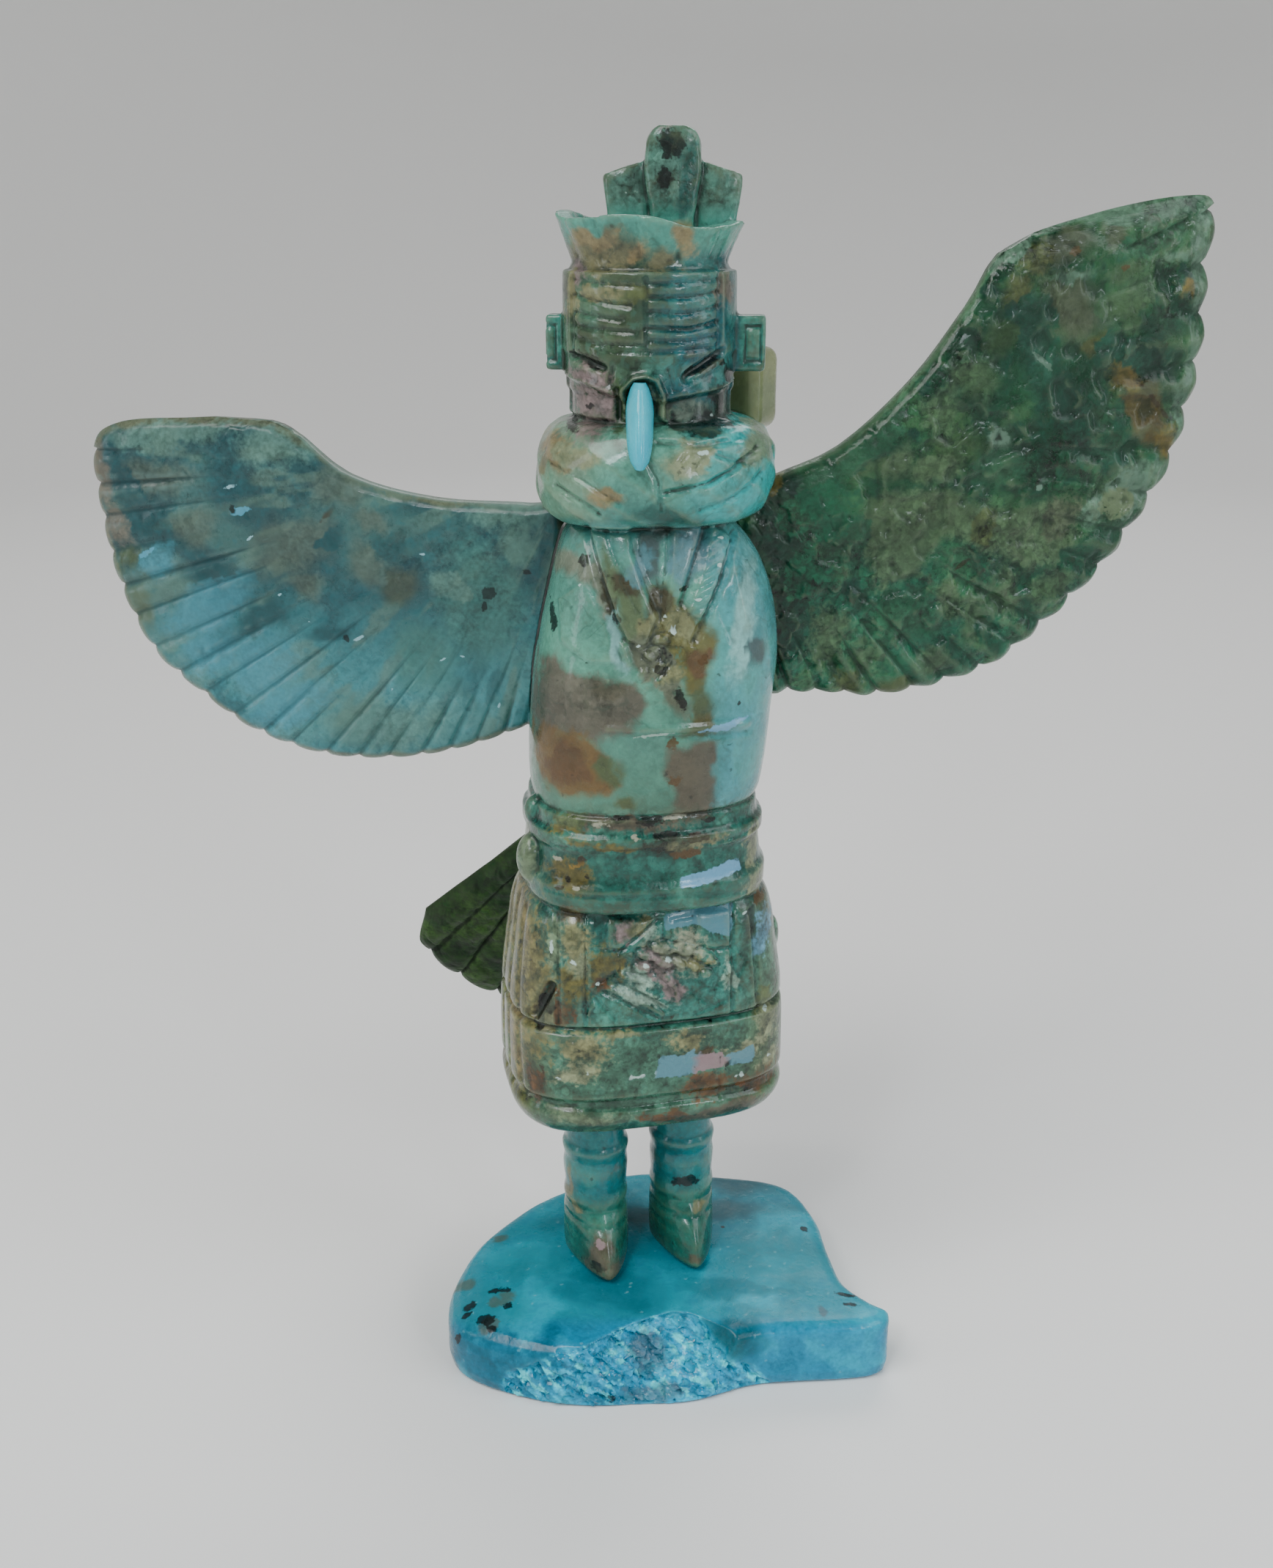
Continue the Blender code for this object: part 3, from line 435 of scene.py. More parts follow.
def column_points(rows, from_front, outward):
    """Points on the rings at these angles from the front, moved outward by the given distances."""
    z, half_width, half_depth, x, power, turn, tilt = (rows[:, k, None] for k in range(7))
    across = np.abs(np.sin(from_front)) / half_width
    along = np.abs(np.cos(from_front)) / half_depth
    radius = (across**power + along**power) ** (-1 / power) + outward
    local_x = radius * np.sin(from_front)
    local_y = -radius * np.cos(from_front)
    turned_x = local_x * np.cos(turn) - local_y * np.sin(turn)
    turned_y = local_x * np.sin(turn) + local_y * np.cos(turn)
    height = z + turned_x * np.tan(tilt)
    rise = np.clip((z - CROWN_BOTTOM) / CROWN_HEIGHT, 0, None)
    ring_angle = from_front + 1.5 * math.pi
    wave = CROWN_HEIGHT * 0.08 * np.cos(4 * ring_angle + 0.5) - CROWN_SLOPE * (x + turned_x)
    return np.stack([x + turned_x, turned_y, height + rise**2 * wave], axis=-1)

def leave_room(obj):
    """Cuts away the room that the dancer needs, with the gap around it."""
    room = column_points(ring_rows(), angles_round(64, -math.pi), TOUCH_GAP)
    cut_away(obj, tube("room", room))

def surface_point(z, from_front, outward=0.0):
    """The plain surface's point at a height below the crown and an angle from the front."""
    rows = ring_rows()
    rows = rows[np.concatenate([[True], np.diff(rows[:, 0]) > 0])]
    level = np.array([[np.interp(z, rows[:, 0], rows[:, k]) for k in range(7)]])
    return Vector(column_points(level, np.array([[from_front]]), outward)[0, 0])

# Carved lines on the front, in millimetres: half-width, height (a groove's is negative), (x, z) points.
LINES = (
    # The kilt's panel: its borders.
    (0.34, -0.4, (-5.7, 46), (-5.6, 36)), (0.3, -0.35, (-8.1, 45.8), (-8, 36.2)),
    (0.34, -0.42, (7.4, 45.6), (7.6, 35.6)), (0.3, -0.35, (9.2, 45), (10, 35.4)),
    (0.3, -0.3, (-11.2, 35.6), (-8, 35.6), (-1.2, 35.45), (4, 35.45), (11.5, 35.3)),
    (0.25, -0.22, (-9, 27.8), (-1.2, 27.5), (4, 27.6), (11.3, 27.4)),
    (0.22, -0.14, (3.8, 29.8), (6.4, 29.3)), (0.22, -0.2, (6.5, 31.8), (6.4, 27.2)),
    # The panel's figures: wedges, steps and long chips.
    (0.25, -0.26, (-3.7, 45.4), (-3.7, 43)), (0.34, -0.36, (-2.6, 42.6), (0.8, 45.1)),
    (0.22, -0.22, (-0.3, 42.9), (1, 45)), (0.24, -0.22, (-5.6, 42.9), (-3, 42.8), (0.8, 42.6)),
    (0.26, -0.3, (1.2, 45.1), (1.3, 43.4)), (0.22, -0.24, (2, 45), (3.9, 45.1)),
    (0.22, -0.22, (4, 44.6), (4, 43.1)), (0.26, -0.28, (4, 43), (5.3, 41.9), (7.3, 41.9)),
    (0.28, 0.26, (-3.6, 39.5), (-1.2, 38.3), (1.2, 36.6)),
    (0.26, -0.34, (-4.2, 39.2), (-1.6, 37.7), (0.8, 36.2)),
    (0.24, -0.26, (-3, 40), (-0.6, 38.7), (1.6, 37.1)), (0.24, -0.28, (-5.4, 39.3), (-3, 36.6)),
    (0.24, -0.26, (-2.8, 40.9), (-4.6, 39.8)), (0.26, 0.2, (-4.8, 38), (-5.4, 37)),
    (0.22, -0.2, (-2.6, 41.7), (-2.6, 40.6)), (0.36, 0.3, (-2.3, 40.5), (-1.3, 40.1)),
    (0.34, 0.3, (-1.1, 40.2), (0, 39.4)), (0.3, 0.26, (-0.9, 39.3), (0.6, 38.3)),
    (0.32, 0.26, (0.3, 40), (1.3, 39.2)), (0.4, 0.3, (1.4, 40.2), (2.2, 39)),
    (0.38, 0.28, (2.3, 38.6), (2.5, 37.5)), (0.28, 0.24, (6.6, 38.3), (7.3, 40.2)),
    (0.22, -0.24, (6, 38.6), (7, 40.6)), (0.24, -0.22, (3.2, 38.9), (5.4, 37)),
    (0.24, -0.2, (4, 36.2), (6.8, 37.2)), (0.22, -0.26, (7.7, 45.1), (8.3, 44.2), (9, 44.8)),
    (0.22, -0.22, (7.8, 42), (8.6, 40.6), (8, 39.2)), (0.22, -0.2, (7.9, 38.4), (9.2, 36.6)),
    # The belt's fine lines.
    (0.2, -0.16, (-9, 48), (-2.8, 48), (3.8, 47.8), (9.9, 46.9)),
    (0.26, -0.24, (-8.4, 52.2), (-2, 52.1), (3.8, 52.1), (9.3, 52.5)),
    # The chest: lapel, facet and the beaded strap.
    (0.62, -0.42, (-5.3, 79), (-4.1, 75.3), (-2.9, 72), (-2.2, 70.4)),
    (0.24, -0.17, (-3.6, 79.4), (-2.2, 75.6), (-0.8, 72.6)),
    (0.5, -0.34, (-1.4, 79.2), (-1.3, 77.4), (-0.2, 74.5), (0.9, 72.2)),
    (0.45, -0.26, (1.7, 79.2), (1.5, 76), (1, 72.8)), (0.5, -0.5, (4.6, 79), (3.1, 74.6), (2.6, 73.2)),
    (0.6, -0.42, (7, 78.2), (5.9, 74.9), (4.4, 71.6), (3.7, 70.2)), (0.5, 0.32, (-1.7, 68.4), (-2.9, 72.3)),
    (0.8, 0.2, (6.9, 75.6), (8, 71)), (0.6, -0.14, (5.6, 73.4), (7, 69.8)),
    (0.6, 0.24, (-3.4, 62.9), (1.8, 62.8), (4.8, 62.8), (8.2, 62.6)),
    (0.55, -0.14, (1.6, 62.1), (4.8, 62.1), (8.4, 61.8)), (0.5, -0.06, (-5.9, 67.2), (-5.9, 62.8)),
    (0.8, -0.16, (0.2, 69.9), (1.6, 68.4), (2, 66)), (0.3, 0.29, (-1, 70), (0.4, 68.6)),
    (0.26, -0.29, (0.6, 67.2), (1.8, 68.4)),
    # The ruff's slanting cuts.
    (0.36, -0.34, (0.5, 86.3), (4.2, 86), (7.4, 86.4)),
    (0.4, -0.44, (1.2, 82.5), (4.8, 83.2), (7, 84.3), (8.9, 85.6)),
    (0.26, -0.22, (2.4, 84.9), (3.2, 85.7), (4.2, 85.2), (3.6, 84.4)),
    (0.34, -0.26, (5.4, 85.4), (8.4, 84.4)), (0.4, -0.26, (-0.6, 85.6), (0.6, 83.4), (0.9, 81.2)),
    (0.34, -0.34, (-7.8, 82.6), (-5.3, 81.3), (-4.2, 80.6)),
    (0.36, -0.24, (-8.2, 84.2), (-5.6, 83.4), (-2.6, 81.6)), (0.36, -0.26, (4, 81), (7, 82), (9.2, 83.6)),
)

# Areas raised (or sunk, if negative) by so many millimetres, with (x, z) corners.
STRAP = ((5, 79.2), (6.6, 78.2), (5.6, 75), (4.2, 71.8), (3, 72.6), (4.2, 75.8))
AREAS = (
    (-0.22, (-5.4, 45.6), (-3.9, 45.6), (-3.9, 43.2), (-5.4, 43.2)),
    (0.16, (-3.5, 45.6), (0.4, 45.2), (-2.7, 42.9), (-3.5, 43.2)),
    (0.2, (4.1, 45.4), (7.1, 45.2), (7, 42.2), (5.2, 42.3), (4.1, 43.3)),
    (0.42, (-4.9, 79.6), (-1.6, 79.6), (-1.5, 77.4), (-0.4, 74.5), (0.6, 72.2), (-0.4, 70), (-1.9, 70.4),
     (-2.7, 72.3), (-3.8, 75.4)),
    (-0.42, (-1.2, 79.6), (1.6, 79.6), (1.4, 76), (0.9, 73.2), (0, 74.6), (-1.1, 77.4)),
    (0.34, *STRAP),
    (0.16, (-7.6, 73), (-5.4, 75), (-3.6, 71.6), (-2.6, 68.6), (-5, 68.4), (-7.4, 69.8)),
)

# Small raised chips: (x, z, half length, half width, degrees, height).
CHIPS = (
    (-0.2, 42.1, 0.9, 0.5, -20, 0.3), (1.3, 42.6, 1.2, 0.6, -10, 0.32), (3.1, 42.3, 1.1, 0.55, -20, 0.32),
    (4.8, 41.6, 0.9, 0.55, -15, 0.32), (5.4, 41, 0.7, 0.4, -20, 0.28), (-0.6, 41.1, 0.8, 0.45, -15, 0.3),
    (1.2, 41.4, 1, 0.5, -30, 0.32), (2.7, 41.1, 0.7, 0.45, -35, 0.3), (3.9, 40.7, 0.6, 0.4, -30, 0.26),
    (5, 39.9, 0.55, 0.45, 0, 0.26), (0.2, 69.2, 0.7, 0.5, 20, 0.22), (-0.6, 67.6, 0.6, 0.4, 60, 0.2),
    (0.9, 70.4, 0.7, 0.4, 10, 0.2),
)

# Carved lines on the head: half-width, height, (degrees from the front, z) points.
HEAD_LINES = (
    (0.32, -0.34, (-54, 98.7), (-54, 93.2)), (0.32, -0.34, (54, 98.9), (54, 93.4)),
    (0.24, -0.22, (-52, 98.4), (-24, 98.2), (0, 98)), (0.24, -0.24, (4, 98.2), (30, 98.3), (53, 98.5)),
    (0.3, -0.36, (-52, 97.3), (-20, 96.7), (-8, 96.6)), (0.3, -0.34, (5, 97.2), (30, 97.2), (53, 97.6)),
    (0.28, -0.34, (-52, 96), (-14, 95.5)), (0.28, -0.34, (5, 96.1), (30, 96), (53, 96.5)),
    (0.26, -0.3, (-52, 95), (-6, 94.6)), (0.32, -0.4, (4, 94.9), (30, 94.8), (53, 95.3)),
    (0.26, -0.28, (-52, 94.1), (-30, 93.6), (2, 93.6)), (0.26, -0.3, (4, 94), (30, 93.9), (53, 94.3)),
    (0.24, -0.26, (-30, 93.2), (8, 93.1), (53, 93.5)), (0.28, -0.16, (2, 98.6), (2, 93.4)),
    (0.4, 0.62, (-12, 88.7), (-13, 90.2), (-6, 91.1), (2, 91.3), (9, 91), (13, 89.8), (13.5, 86.8)),
    (0.42, -0.5, (-18, 90.2), (-18, 86.8)), (0.3, -0.3, (-20, 91.9), (-22, 90.6)),
    (0.28, -0.24, (16, 91.8), (20, 90.2)), (0.52, -0.62, (-56, 92.6), (-42, 92.3), (-27, 91.8)),
    (0.56, -0.68, (57, 93), (44, 92.3), (34, 91.7), (28, 91.2)),
    (0.26, -0.24, (27, 90.7), (44, 91.2), (58, 91.8)), (0.24, 0.16, (28, 92.8), (44, 93)),
)
# The visor's lower edge, by degrees from the front.
VISOR_DEGREES = (-80, -65, -45, -26, -14, 14, 34, 72, 85)
VISOR_HEIGHTS = (91, 90.8, 90.6, 90, 89.4, 89.3, 89.8, 90.3, 90.5)

# The column's parts from the hem up, of which the belt is 1 and the torso 2.
KILT, RUFF, HEAD, CROWN = 0, 3, 4, 5
# The ring at which each part above the kilt starts.
PART_STARTS = (11, 21, 30, 38, 43)

def figure_relief(points, from_front, part_z, region):
    """Distance in metres by which each point of the column moves outward."""
    x, z = points[..., 0] / MM, points[..., 2] / MM
    degrees = np.degrees(from_front)
    lift = np.zeros(x.shape)
    front = smooth_step((math.radians(88) - np.abs(from_front)) / 0.3)
    body = front * (z < 87.6)
    for half, height, *path in LINES:
        levels = [point[1] for point in path]
        band = (body > 0) & (z > min(levels) - 1) & (z < max(levels) + 1)
        lift[band] += body[band] * height * hump(path_distance(x[band], z[band], path), half)
    for height, *corners in AREAS:
        lift += body * height * smooth_step(area_depth(x, z, corners) / 0.25 + 0.5)
    for *chip, height in CHIPS:
        away = oval(x, z, *chip)
        dome = np.clip(1 - away * away, 0, 1) ** 0.5
        lift += body * (1.3 * height * dome - 0.16 * hump(np.abs(away - 1.2), 0.35))
    # The beads of the right strap: short cuts across it.
    strap = area_depth(x, z, STRAP) > -0.2
    lift -= body * strap * 0.20 * smooth_step(np.cos((z * 0.9 - x * 0.45) * 2 * math.pi / 0.75) * 0.5 + 0.2)
    # The sash on the left side of the kilt: long upright folds.
    sash = between(degrees, -112, -60, 3, 3) * (region == KILT)
    sash *= between(z, 27, 46, 1, 1)
    fold = np.abs(np.sin((degrees + 0.5 * (z - 36)) * math.pi / 14))
    lift -= sash * 0.34 * (1 - fold) ** 2.2
    pit = path_distance(x, z, ((-10.3, 36.4), (-9.6, 37.8), (-8.7, 39.4)))
    lift -= body * 0.8 * hump(pit, 0.75)
    # The head: metric distances round the drum.
    head = region == HEAD
    reach = HEAD_WIDTH / 2 / MM
    around = from_front * reach
    level = part_z / MM
    for half, height, *path in HEAD_LINES:
        track = [(math.radians(a) * reach, b) for a, b in path]
        lift += head * height * hump(path_distance(around, level, track), half)
    aside = np.abs(degrees)
    visor = np.interp(degrees, VISOR_DEGREES, VISOR_HEIGHTS)
    mask = smooth_step((88 - aside) / 6) * head
    lift -= mask * 0.34 * smooth_step((visor - level) / 0.3 + 0.5) * smooth_step((level - 86.5) / 0.8)
    lift += mask * 0.16 * hump(np.abs(visor - level + 0.1), 0.4)
    lift += head * between(aside, 54, 96, 3, 3) * 0.16 * smooth_step((level - 92.6) / 0.4)
    back = smooth_step((aside - 96) / 4) * head
    lift -= back * 0.12 * smooth_step(np.cos(degrees * math.pi / 7.5) * 0.5 - 0.1)
    # The ruff is cut in flats, with slanting grooves carried round to the back.
    ruff = region == RUFF
    flat = math.radians(27)
    turn = (from_front + 0.16 * (level - 83.3) + 0.2) % flat - flat / 2
    lift -= ruff * 9.6 * (1 - np.cos(flat / 2)) * 0.75 * (np.cos(turn * math.pi / flat) ** 0.8)
    behind = smooth_step((aside - 70) / 10) * ruff
    slant = (degrees + 4.5 * (level - 83.3)) % 33 - 16.5
    lift -= behind * 0.26 * hump(np.abs(slant), 2.6)
    # The crown's outer face is roughly chipped.
    flute = np.abs(np.sin(from_front * 6.5 + 0.4))
    outside = smooth_step((level - 99.6) / 0.6)
    lift -= (region == CROWN) * 0.22 * outside * (1 - flute) ** 2
    return lift * MM

def column_mesh():
    """The dancer from the hem to the crown, with its carving."""
    rows = ring_rows()
    step = np.hypot(np.diff(rows[:, 0]), np.diff(rows[:, 1])) + np.abs(np.diff(rows[:, 3])) * 0.2
    s = np.concatenate([[0], np.cumsum(step)])
    at = np.linspace(0, s[-1], int(s[-1] / COLUMN_STEP))
    region = np.searchsorted([s[k] - 0.5 * step[k - 1] for k in PART_STARTS], at)[:, None]
    fine = monotone(s, rows, at)
    from_front = angles_round(COLUMN_ANGLES, -math.pi)
    plain = column_points(fine, from_front, 0.0)
    lift = figure_relief(plain, *np.broadcast_arrays(from_front, fine[:, 0, None], region))
    return tube("column", column_points(fine, from_front, lift))

def boot_mesh(side):
    """One boot, with folds across its instep, from (height, width, toe, how pointed the toe is)."""
    shape = np.array([
        (0.000, 0.88, 0.94, 1.40), (0.030, 1.00, 1.00, 1.45), (0.100, 1.02, 0.94, 1.50),
        (0.190, 1.01, 0.80, 1.60), (0.280, 1.00, 0.62, 1.80), (0.340, 0.95, 0.53, 2.00),
        (0.380, 1.00, 0.52, 2.00), (0.440, 0.96, 0.49, 2.00), (0.560, 1.00, 0.50, 2.00),
        (0.620, 0.97, 0.48, 2.00), (0.690, 1.03, 0.51, 2.00), (0.730, 0.92, 0.46, 2.00),
        (1.100, 0.90, 0.45, 2.00),
    ])
    fine = monotone(shape[:, 0], shape, np.linspace(0, 1.1, 120))
    height, width, toe, point = (fine[:, k, None] for k in range(4))
    angle = angles_round(96)
    half = width * BOOT_WIDTH / 2
    ahead = np.sin(angle) < 0
    reach = np.where(ahead, toe * BOOT_TOE, 1.05 * half)
    power = np.where(ahead, point, 2.0)
    radius = (np.abs(np.cos(angle)) / half) ** power + (np.abs(np.sin(angle)) / reach) ** power
    radius = radius ** (-1 / power)
    fold = np.cos((height + 0.02 * np.cos(angle)) * 2 * math.pi / 0.085)
    fold = smooth_step(fold) * smooth_step((height - 0.16) / 0.05) * smooth_step((0.36 - height) / 0.05)
    radius = radius - BOOT_FOLD * fold * ahead
    x, y = radius * np.cos(angle), radius * np.sin(angle)
    c, s = math.cos(KILT_TURN), math.sin(KILT_TURN)
    centre_x, centre_y = side * STANCE / 2 * c + KILT_X + BOOT_SHIFT, side * STANCE / 2 * s
    z = np.broadcast_to(SOLE + height * BOOT_HEIGHT, x.shape)
    return tube("boot", np.stack([centre_x + x * c - y * s, centre_y + x * s + y * c, z], axis=-1))

def rounded_block(name, size, edge, place):
    """A box with rounded edges, moved by the matrix."""
    bm = bmesh.new()
    bmesh.ops.create_cube(bm, size=1, matrix=Matrix.Diagonal((*size, 1)))
    bmesh.ops.bevel(bm, geom=bm.edges[:], offset=edge, segments=4, profile=0.5, affect="EDGES")
    bmesh.ops.transform(bm, matrix=place, verts=bm.verts)
    return built(name, bm)

def feather_mesh(x, lean, slope, widths, top, thickness, y):
    """One upright feather of the crown, with a ridge down its middle and rounded edges."""
    bottom = CROWN_BOTTOM + 0.3 * CROWN_HEIGHT
    widths = np.array(widths)
    share = np.linspace(0, 1, 60)
    half = monotone(widths[:, 0], widths, share)[:, 1, None]
    share = share[:, None]
    angle = angles_round(64)
    across = np.sign(np.cos(angle)) * np.abs(np.cos(angle)) ** 0.35
    deep = np.sign(np.sin(angle)) * np.abs(np.sin(angle)) ** 0.35
    z = bottom + share * (top - bottom) + slope * share**4 * across * half
    px = x + lean * share + across * half
    ridge = 1 + 0.16 * (1 - np.abs(across)) - 0.12 * smooth_step((share - 0.90) / 0.10)
    py = y + deep * thickness / 2 * ridge
    return tube("feather", np.stack([px, py, np.broadcast_to(z, px.shape)], axis=-1))

def ellipsoid(centre, radii):
    bm = bmesh.new()
    bmesh.ops.create_uvsphere(bm, u_segments=32, v_segments=20, radius=1)
    bmesh.ops.transform(bm, matrix=Matrix.Translation(centre) @ Matrix.Diagonal((*radii, 1)), verts=bm.verts)
    return built("lump", bm)

# How much of its roughness the remeshed dancer loses, and its wear's and its chips' sizes and depths.
SOFTENING = 0.35
WEAR_SIZE, WEAR_DEPTH, ROUGH_WEAR_DEPTH = 0.0022, 0.00005, 0.00012
CHIP_SIZE, CHIP_BORDER = 0.0016, 0.10
EAR_LINE_DEPTH = 0.00022
# Half widths of the crown's feathers by share of their height.
CENTRE_FEATHER = ((0, 0.0016), (0.35, 0.0018), (0.68, 0.00228), (0.86, 0.0022), (0.96, 0.0017), (1, 0.0011))
OUTER_FEATHER = ((0, 0.0017), (0.55, 0.00175), (0.93, 0.0018), (1, 0.00165))
# Each ear tab's side and how far it stands out.
EARS = ((-1, 0.0015), (1, 0.0025))
EAR_EDGE = 0.00028

def ear_meshes():
    """The ear tabs, which reach into the head."""
    made = []
    z = HEAD_BOTTOM + 0.50 * HEAD_HEIGHT
    for side, out in EARS:
        size = (out + 0.0016, 0.0022, 0.0044)
        middle = HEAD_WIDTH / 2 + out - size[0] / 2
        place = Matrix.Translation((0, 0, z)) @ Matrix.Rotation(HEAD_TURN, 4, "Z")
        place = place @ Matrix.Translation((side * middle, -0.0004, 0))
        made.append(rounded_block("ear", size, EAR_EDGE, place))
    return made

def build_figure():
    """The dancer, joined from its parts, with its wear."""
    shapes = [column_mesh(), boot_mesh(-1), boot_mesh(1), *ear_meshes()]
    centre_top = CROWN_TOP + FEATHER_HEIGHT
    side_top = CROWN_TOP + SIDE_FEATHER * FEATHER_HEIGHT
    for side, widths, top, thickness, y in (
        (0, CENTRE_FEATHER, centre_top, FEATHER_THICKNESS, 0.0004),
        (-1, OUTER_FEATHER, side_top, 0.85 * FEATHER_THICKNESS, 0.0016),
        (1, OUTER_FEATHER, side_top, 0.85 * FEATHER_THICKNESS, 0.0016),
    ):
        x = FEATHER_X + side * FEATHER_SPACING
        shapes.append(feather_mesh(x, side * FEATHER_LEAN, -0.3 * side, widths, top, thickness, y))
    # The belt's knot at its left, and the kilt's at its right.
    for z, degrees, out, radii in (
        (BELT_BOTTOM + 0.40 * BELT_HEIGHT, -76, 0.0, (0.0014, 0.0017, 0.0023)),
        (BELT_BOTTOM + 0.86 * BELT_HEIGHT, -80, -0.0003, (0.0011, 0.0013, 0.0014)),
        (KILT_BOTTOM + 0.74 * KILT_HEIGHT, 76, -0.0003, (0.0008, 0.0014, 0.0018)),
    ):
        shapes.append(ellipsoid(surface_point(z, math.radians(degrees), out), radii))
    figure = add_object("dancer_stone", joined("dancer_stone", shapes))
    remeshed(figure, FIGURE_VOXEL)
    mesh = figure.data
    points, normals = points_of(mesh), normals_of(mesh)
    points = points + SOFTENING * (neighbour_mean(mesh, points) - points)
    x, y, z = points.T
    # Wear, roughest on the crown's feathers and the belt's top.
    roughness = WEAR_DEPTH + ROUGH_WEAR_DEPTH * smooth_step((z - 0.099) / 0.001)
    wear = waver(points, WEAR_SIZE, 3, 3)
    chips, _, _ = cells(points, CHIP_SIZE, 5)
    rough_belt = between(z, 0.0475, 0.0560, 0.002, 0.001)
    wear = wear - (0.5 + rough_belt) * np.clip(CHIP_BORDER - chips, 0, 1)
    # The frame cut into the front of each ear tab.
    ears = (np.abs(x) > HEAD_WIDTH / 2 + 0.0003) & (z > 0.090) & (z < 0.0975)
    frame_cut = np.maximum(np.abs(z - 0.0934) / 0.0013, np.abs(np.abs(x) - 0.0083) / 0.0006)
    line = ears * (y < 0) * hump(np.abs(frame_cut - 1), 0.3) * EAR_LINE_DEPTH
    points = points + normals * (wear * roughness * 2 - line)[:, None]
    move_points(mesh, points)
    thinned(figure, FIGURE_TRIANGLES)
    points = points_of(figure.data)
    points[:, 2] = np.minimum(points[:, 2], centre_top)
    move_points(figure.data, points)
    return figure

# Wing outlines as shares of the span: along it from the shoulder, and down from it.
# A wing's cut: its groove's depth, its groove's share of a feather, the notch at its tip, its crags' depth.
LOW_WING_OUTLINE = (
    (-0.020, -0.001), (0.060, -0.004), (0.258, 0.011), (0.443, -0.013), (0.610, -0.100), (0.829, -0.078),
    (0.965, -0.048), (1.014, 0.010), (0.996, 0.150), (0.952, 0.307), (0.872, 0.446), (0.752, 0.533),
    (0.630, 0.598), (0.474, 0.628), (0.325, 0.614), (0.180, 0.572), (0.037, 0.500), (-0.040, 0.440),
    (-0.030, 0.200),
)
LOW_CUT = (0.00030, 0.24, 0.006, 0.00005)
HIGH_WING_OUTLINE = (
    (-0.100, 0.030), (0.000, 0.000), (0.156, 0.015), (0.337, -0.024), (0.491, -0.091), (0.612, -0.150),
    (0.797, -0.117), (0.970, -0.057), (1.020, -0.010), (0.966, 0.090), (0.884, 0.245), (0.768, 0.385),
    (0.650, 0.468), (0.512, 0.532), (0.290, 0.583), (0.150, 0.567), (0.000, 0.510), (-0.085, 0.450),
    (-0.160, 0.402), (-0.280, 0.330),
)
HIGH_CUT = (0.00040, 0.52, 0.014, 0.00026)
TAIL_CUT = (FEATHER_RELIEF, 0.12, 0.012, 0.00010)
WING_FOCUS = np.array((-0.075, -0.150))
FINE_PER_FEATHER = 12
LEAD_COLUMNS = 36
LEAST_BLADE = 0.0002
# The blades' fine relief: how far in from the rim it changes, and its sizes and depths.
RIM_REACH, RIM_CALM = 0.0009, 0.0006
BEVEL_REACH, BEVEL_DEPTH = 0.0019, 0.00028
WAVE_SIZE, WAVE_DEPTH, WAVE_HEIGHT = 0.0045, 0.00042, 0.00008
GRAIN_SIZE, GRAIN_DEPTH = 0.0009, 0.00012
PIT_SIZE, PIT_DEPTH, PIT_FIELD = 0.0026, 0.0011, 0.003
CRAG_SIZE = 0.0021
# A wing's fan: its first and last feathers' angles, and the share of their length where their cuts start.
LOW_FAN = (8.5, 86, 0.52)
HIGH_FAN = (7.4, 108, 0.58)

def ray_reach(origin, angles, outline):
    """The nearest and the farthest crossing of each ray with a closed outline."""
    a = outline
    edge = np.roll(outline, -1, axis=0) - a
    gap = a - origin
    inner, outer = [], []
    for angle in angles:
        way = np.array((math.cos(angle), math.sin(angle)))
        turn = way[0] * edge[:, 1] - way[1] * edge[:, 0]
        safe = np.where(np.abs(turn) < 1e-12, 1e-12, turn)
        along = (gap[:, 0] * edge[:, 1] - gap[:, 1] * edge[:, 0]) / safe
        share = (gap[:, 0] * way[1] - gap[:, 1] * way[0]) / safe
        hits = along[(share >= 0) & (share < 1) & (along > 0)]
        inner.append(hits.min())
        outer.append(hits.max())
    return np.array(inner), np.array(outer)

def feather_angles(edge, start, end, feathers):
    """Angles of fine columns, and each one's place in its feather from 0 at the groove to 1."""
    lead = edge + (start - edge) * np.linspace(0, 1, LEAD_COLUMNS, endpoint=False) ** 1.5
    steps = feathers * FINE_PER_FEATHER
    share = np.arange(steps + 1) / steps
    phase = (share * feathers) % 1.0
    number = np.floor(np.minimum(share * feathers, feathers - 1e-6))
    angles = np.concatenate([lead, start + (end - start) * share])
    phase = np.concatenate([np.full(LEAD_COLUMNS, 0.3), phase])
    return angles, phase, np.concatenate([np.full(LEAD_COLUMNS, -1), number])

def feather_shape(phase, groove):
    """Height across one feather: gently domed, leaning, with a groove of this share of it between two."""
    cut = hump(np.minimum(phase, 1 - phase), groove)
    dome = 0.72 + 0.28 * np.sin(math.pi * phase) - 0.14 * phase
    return dome * (1 - cut)

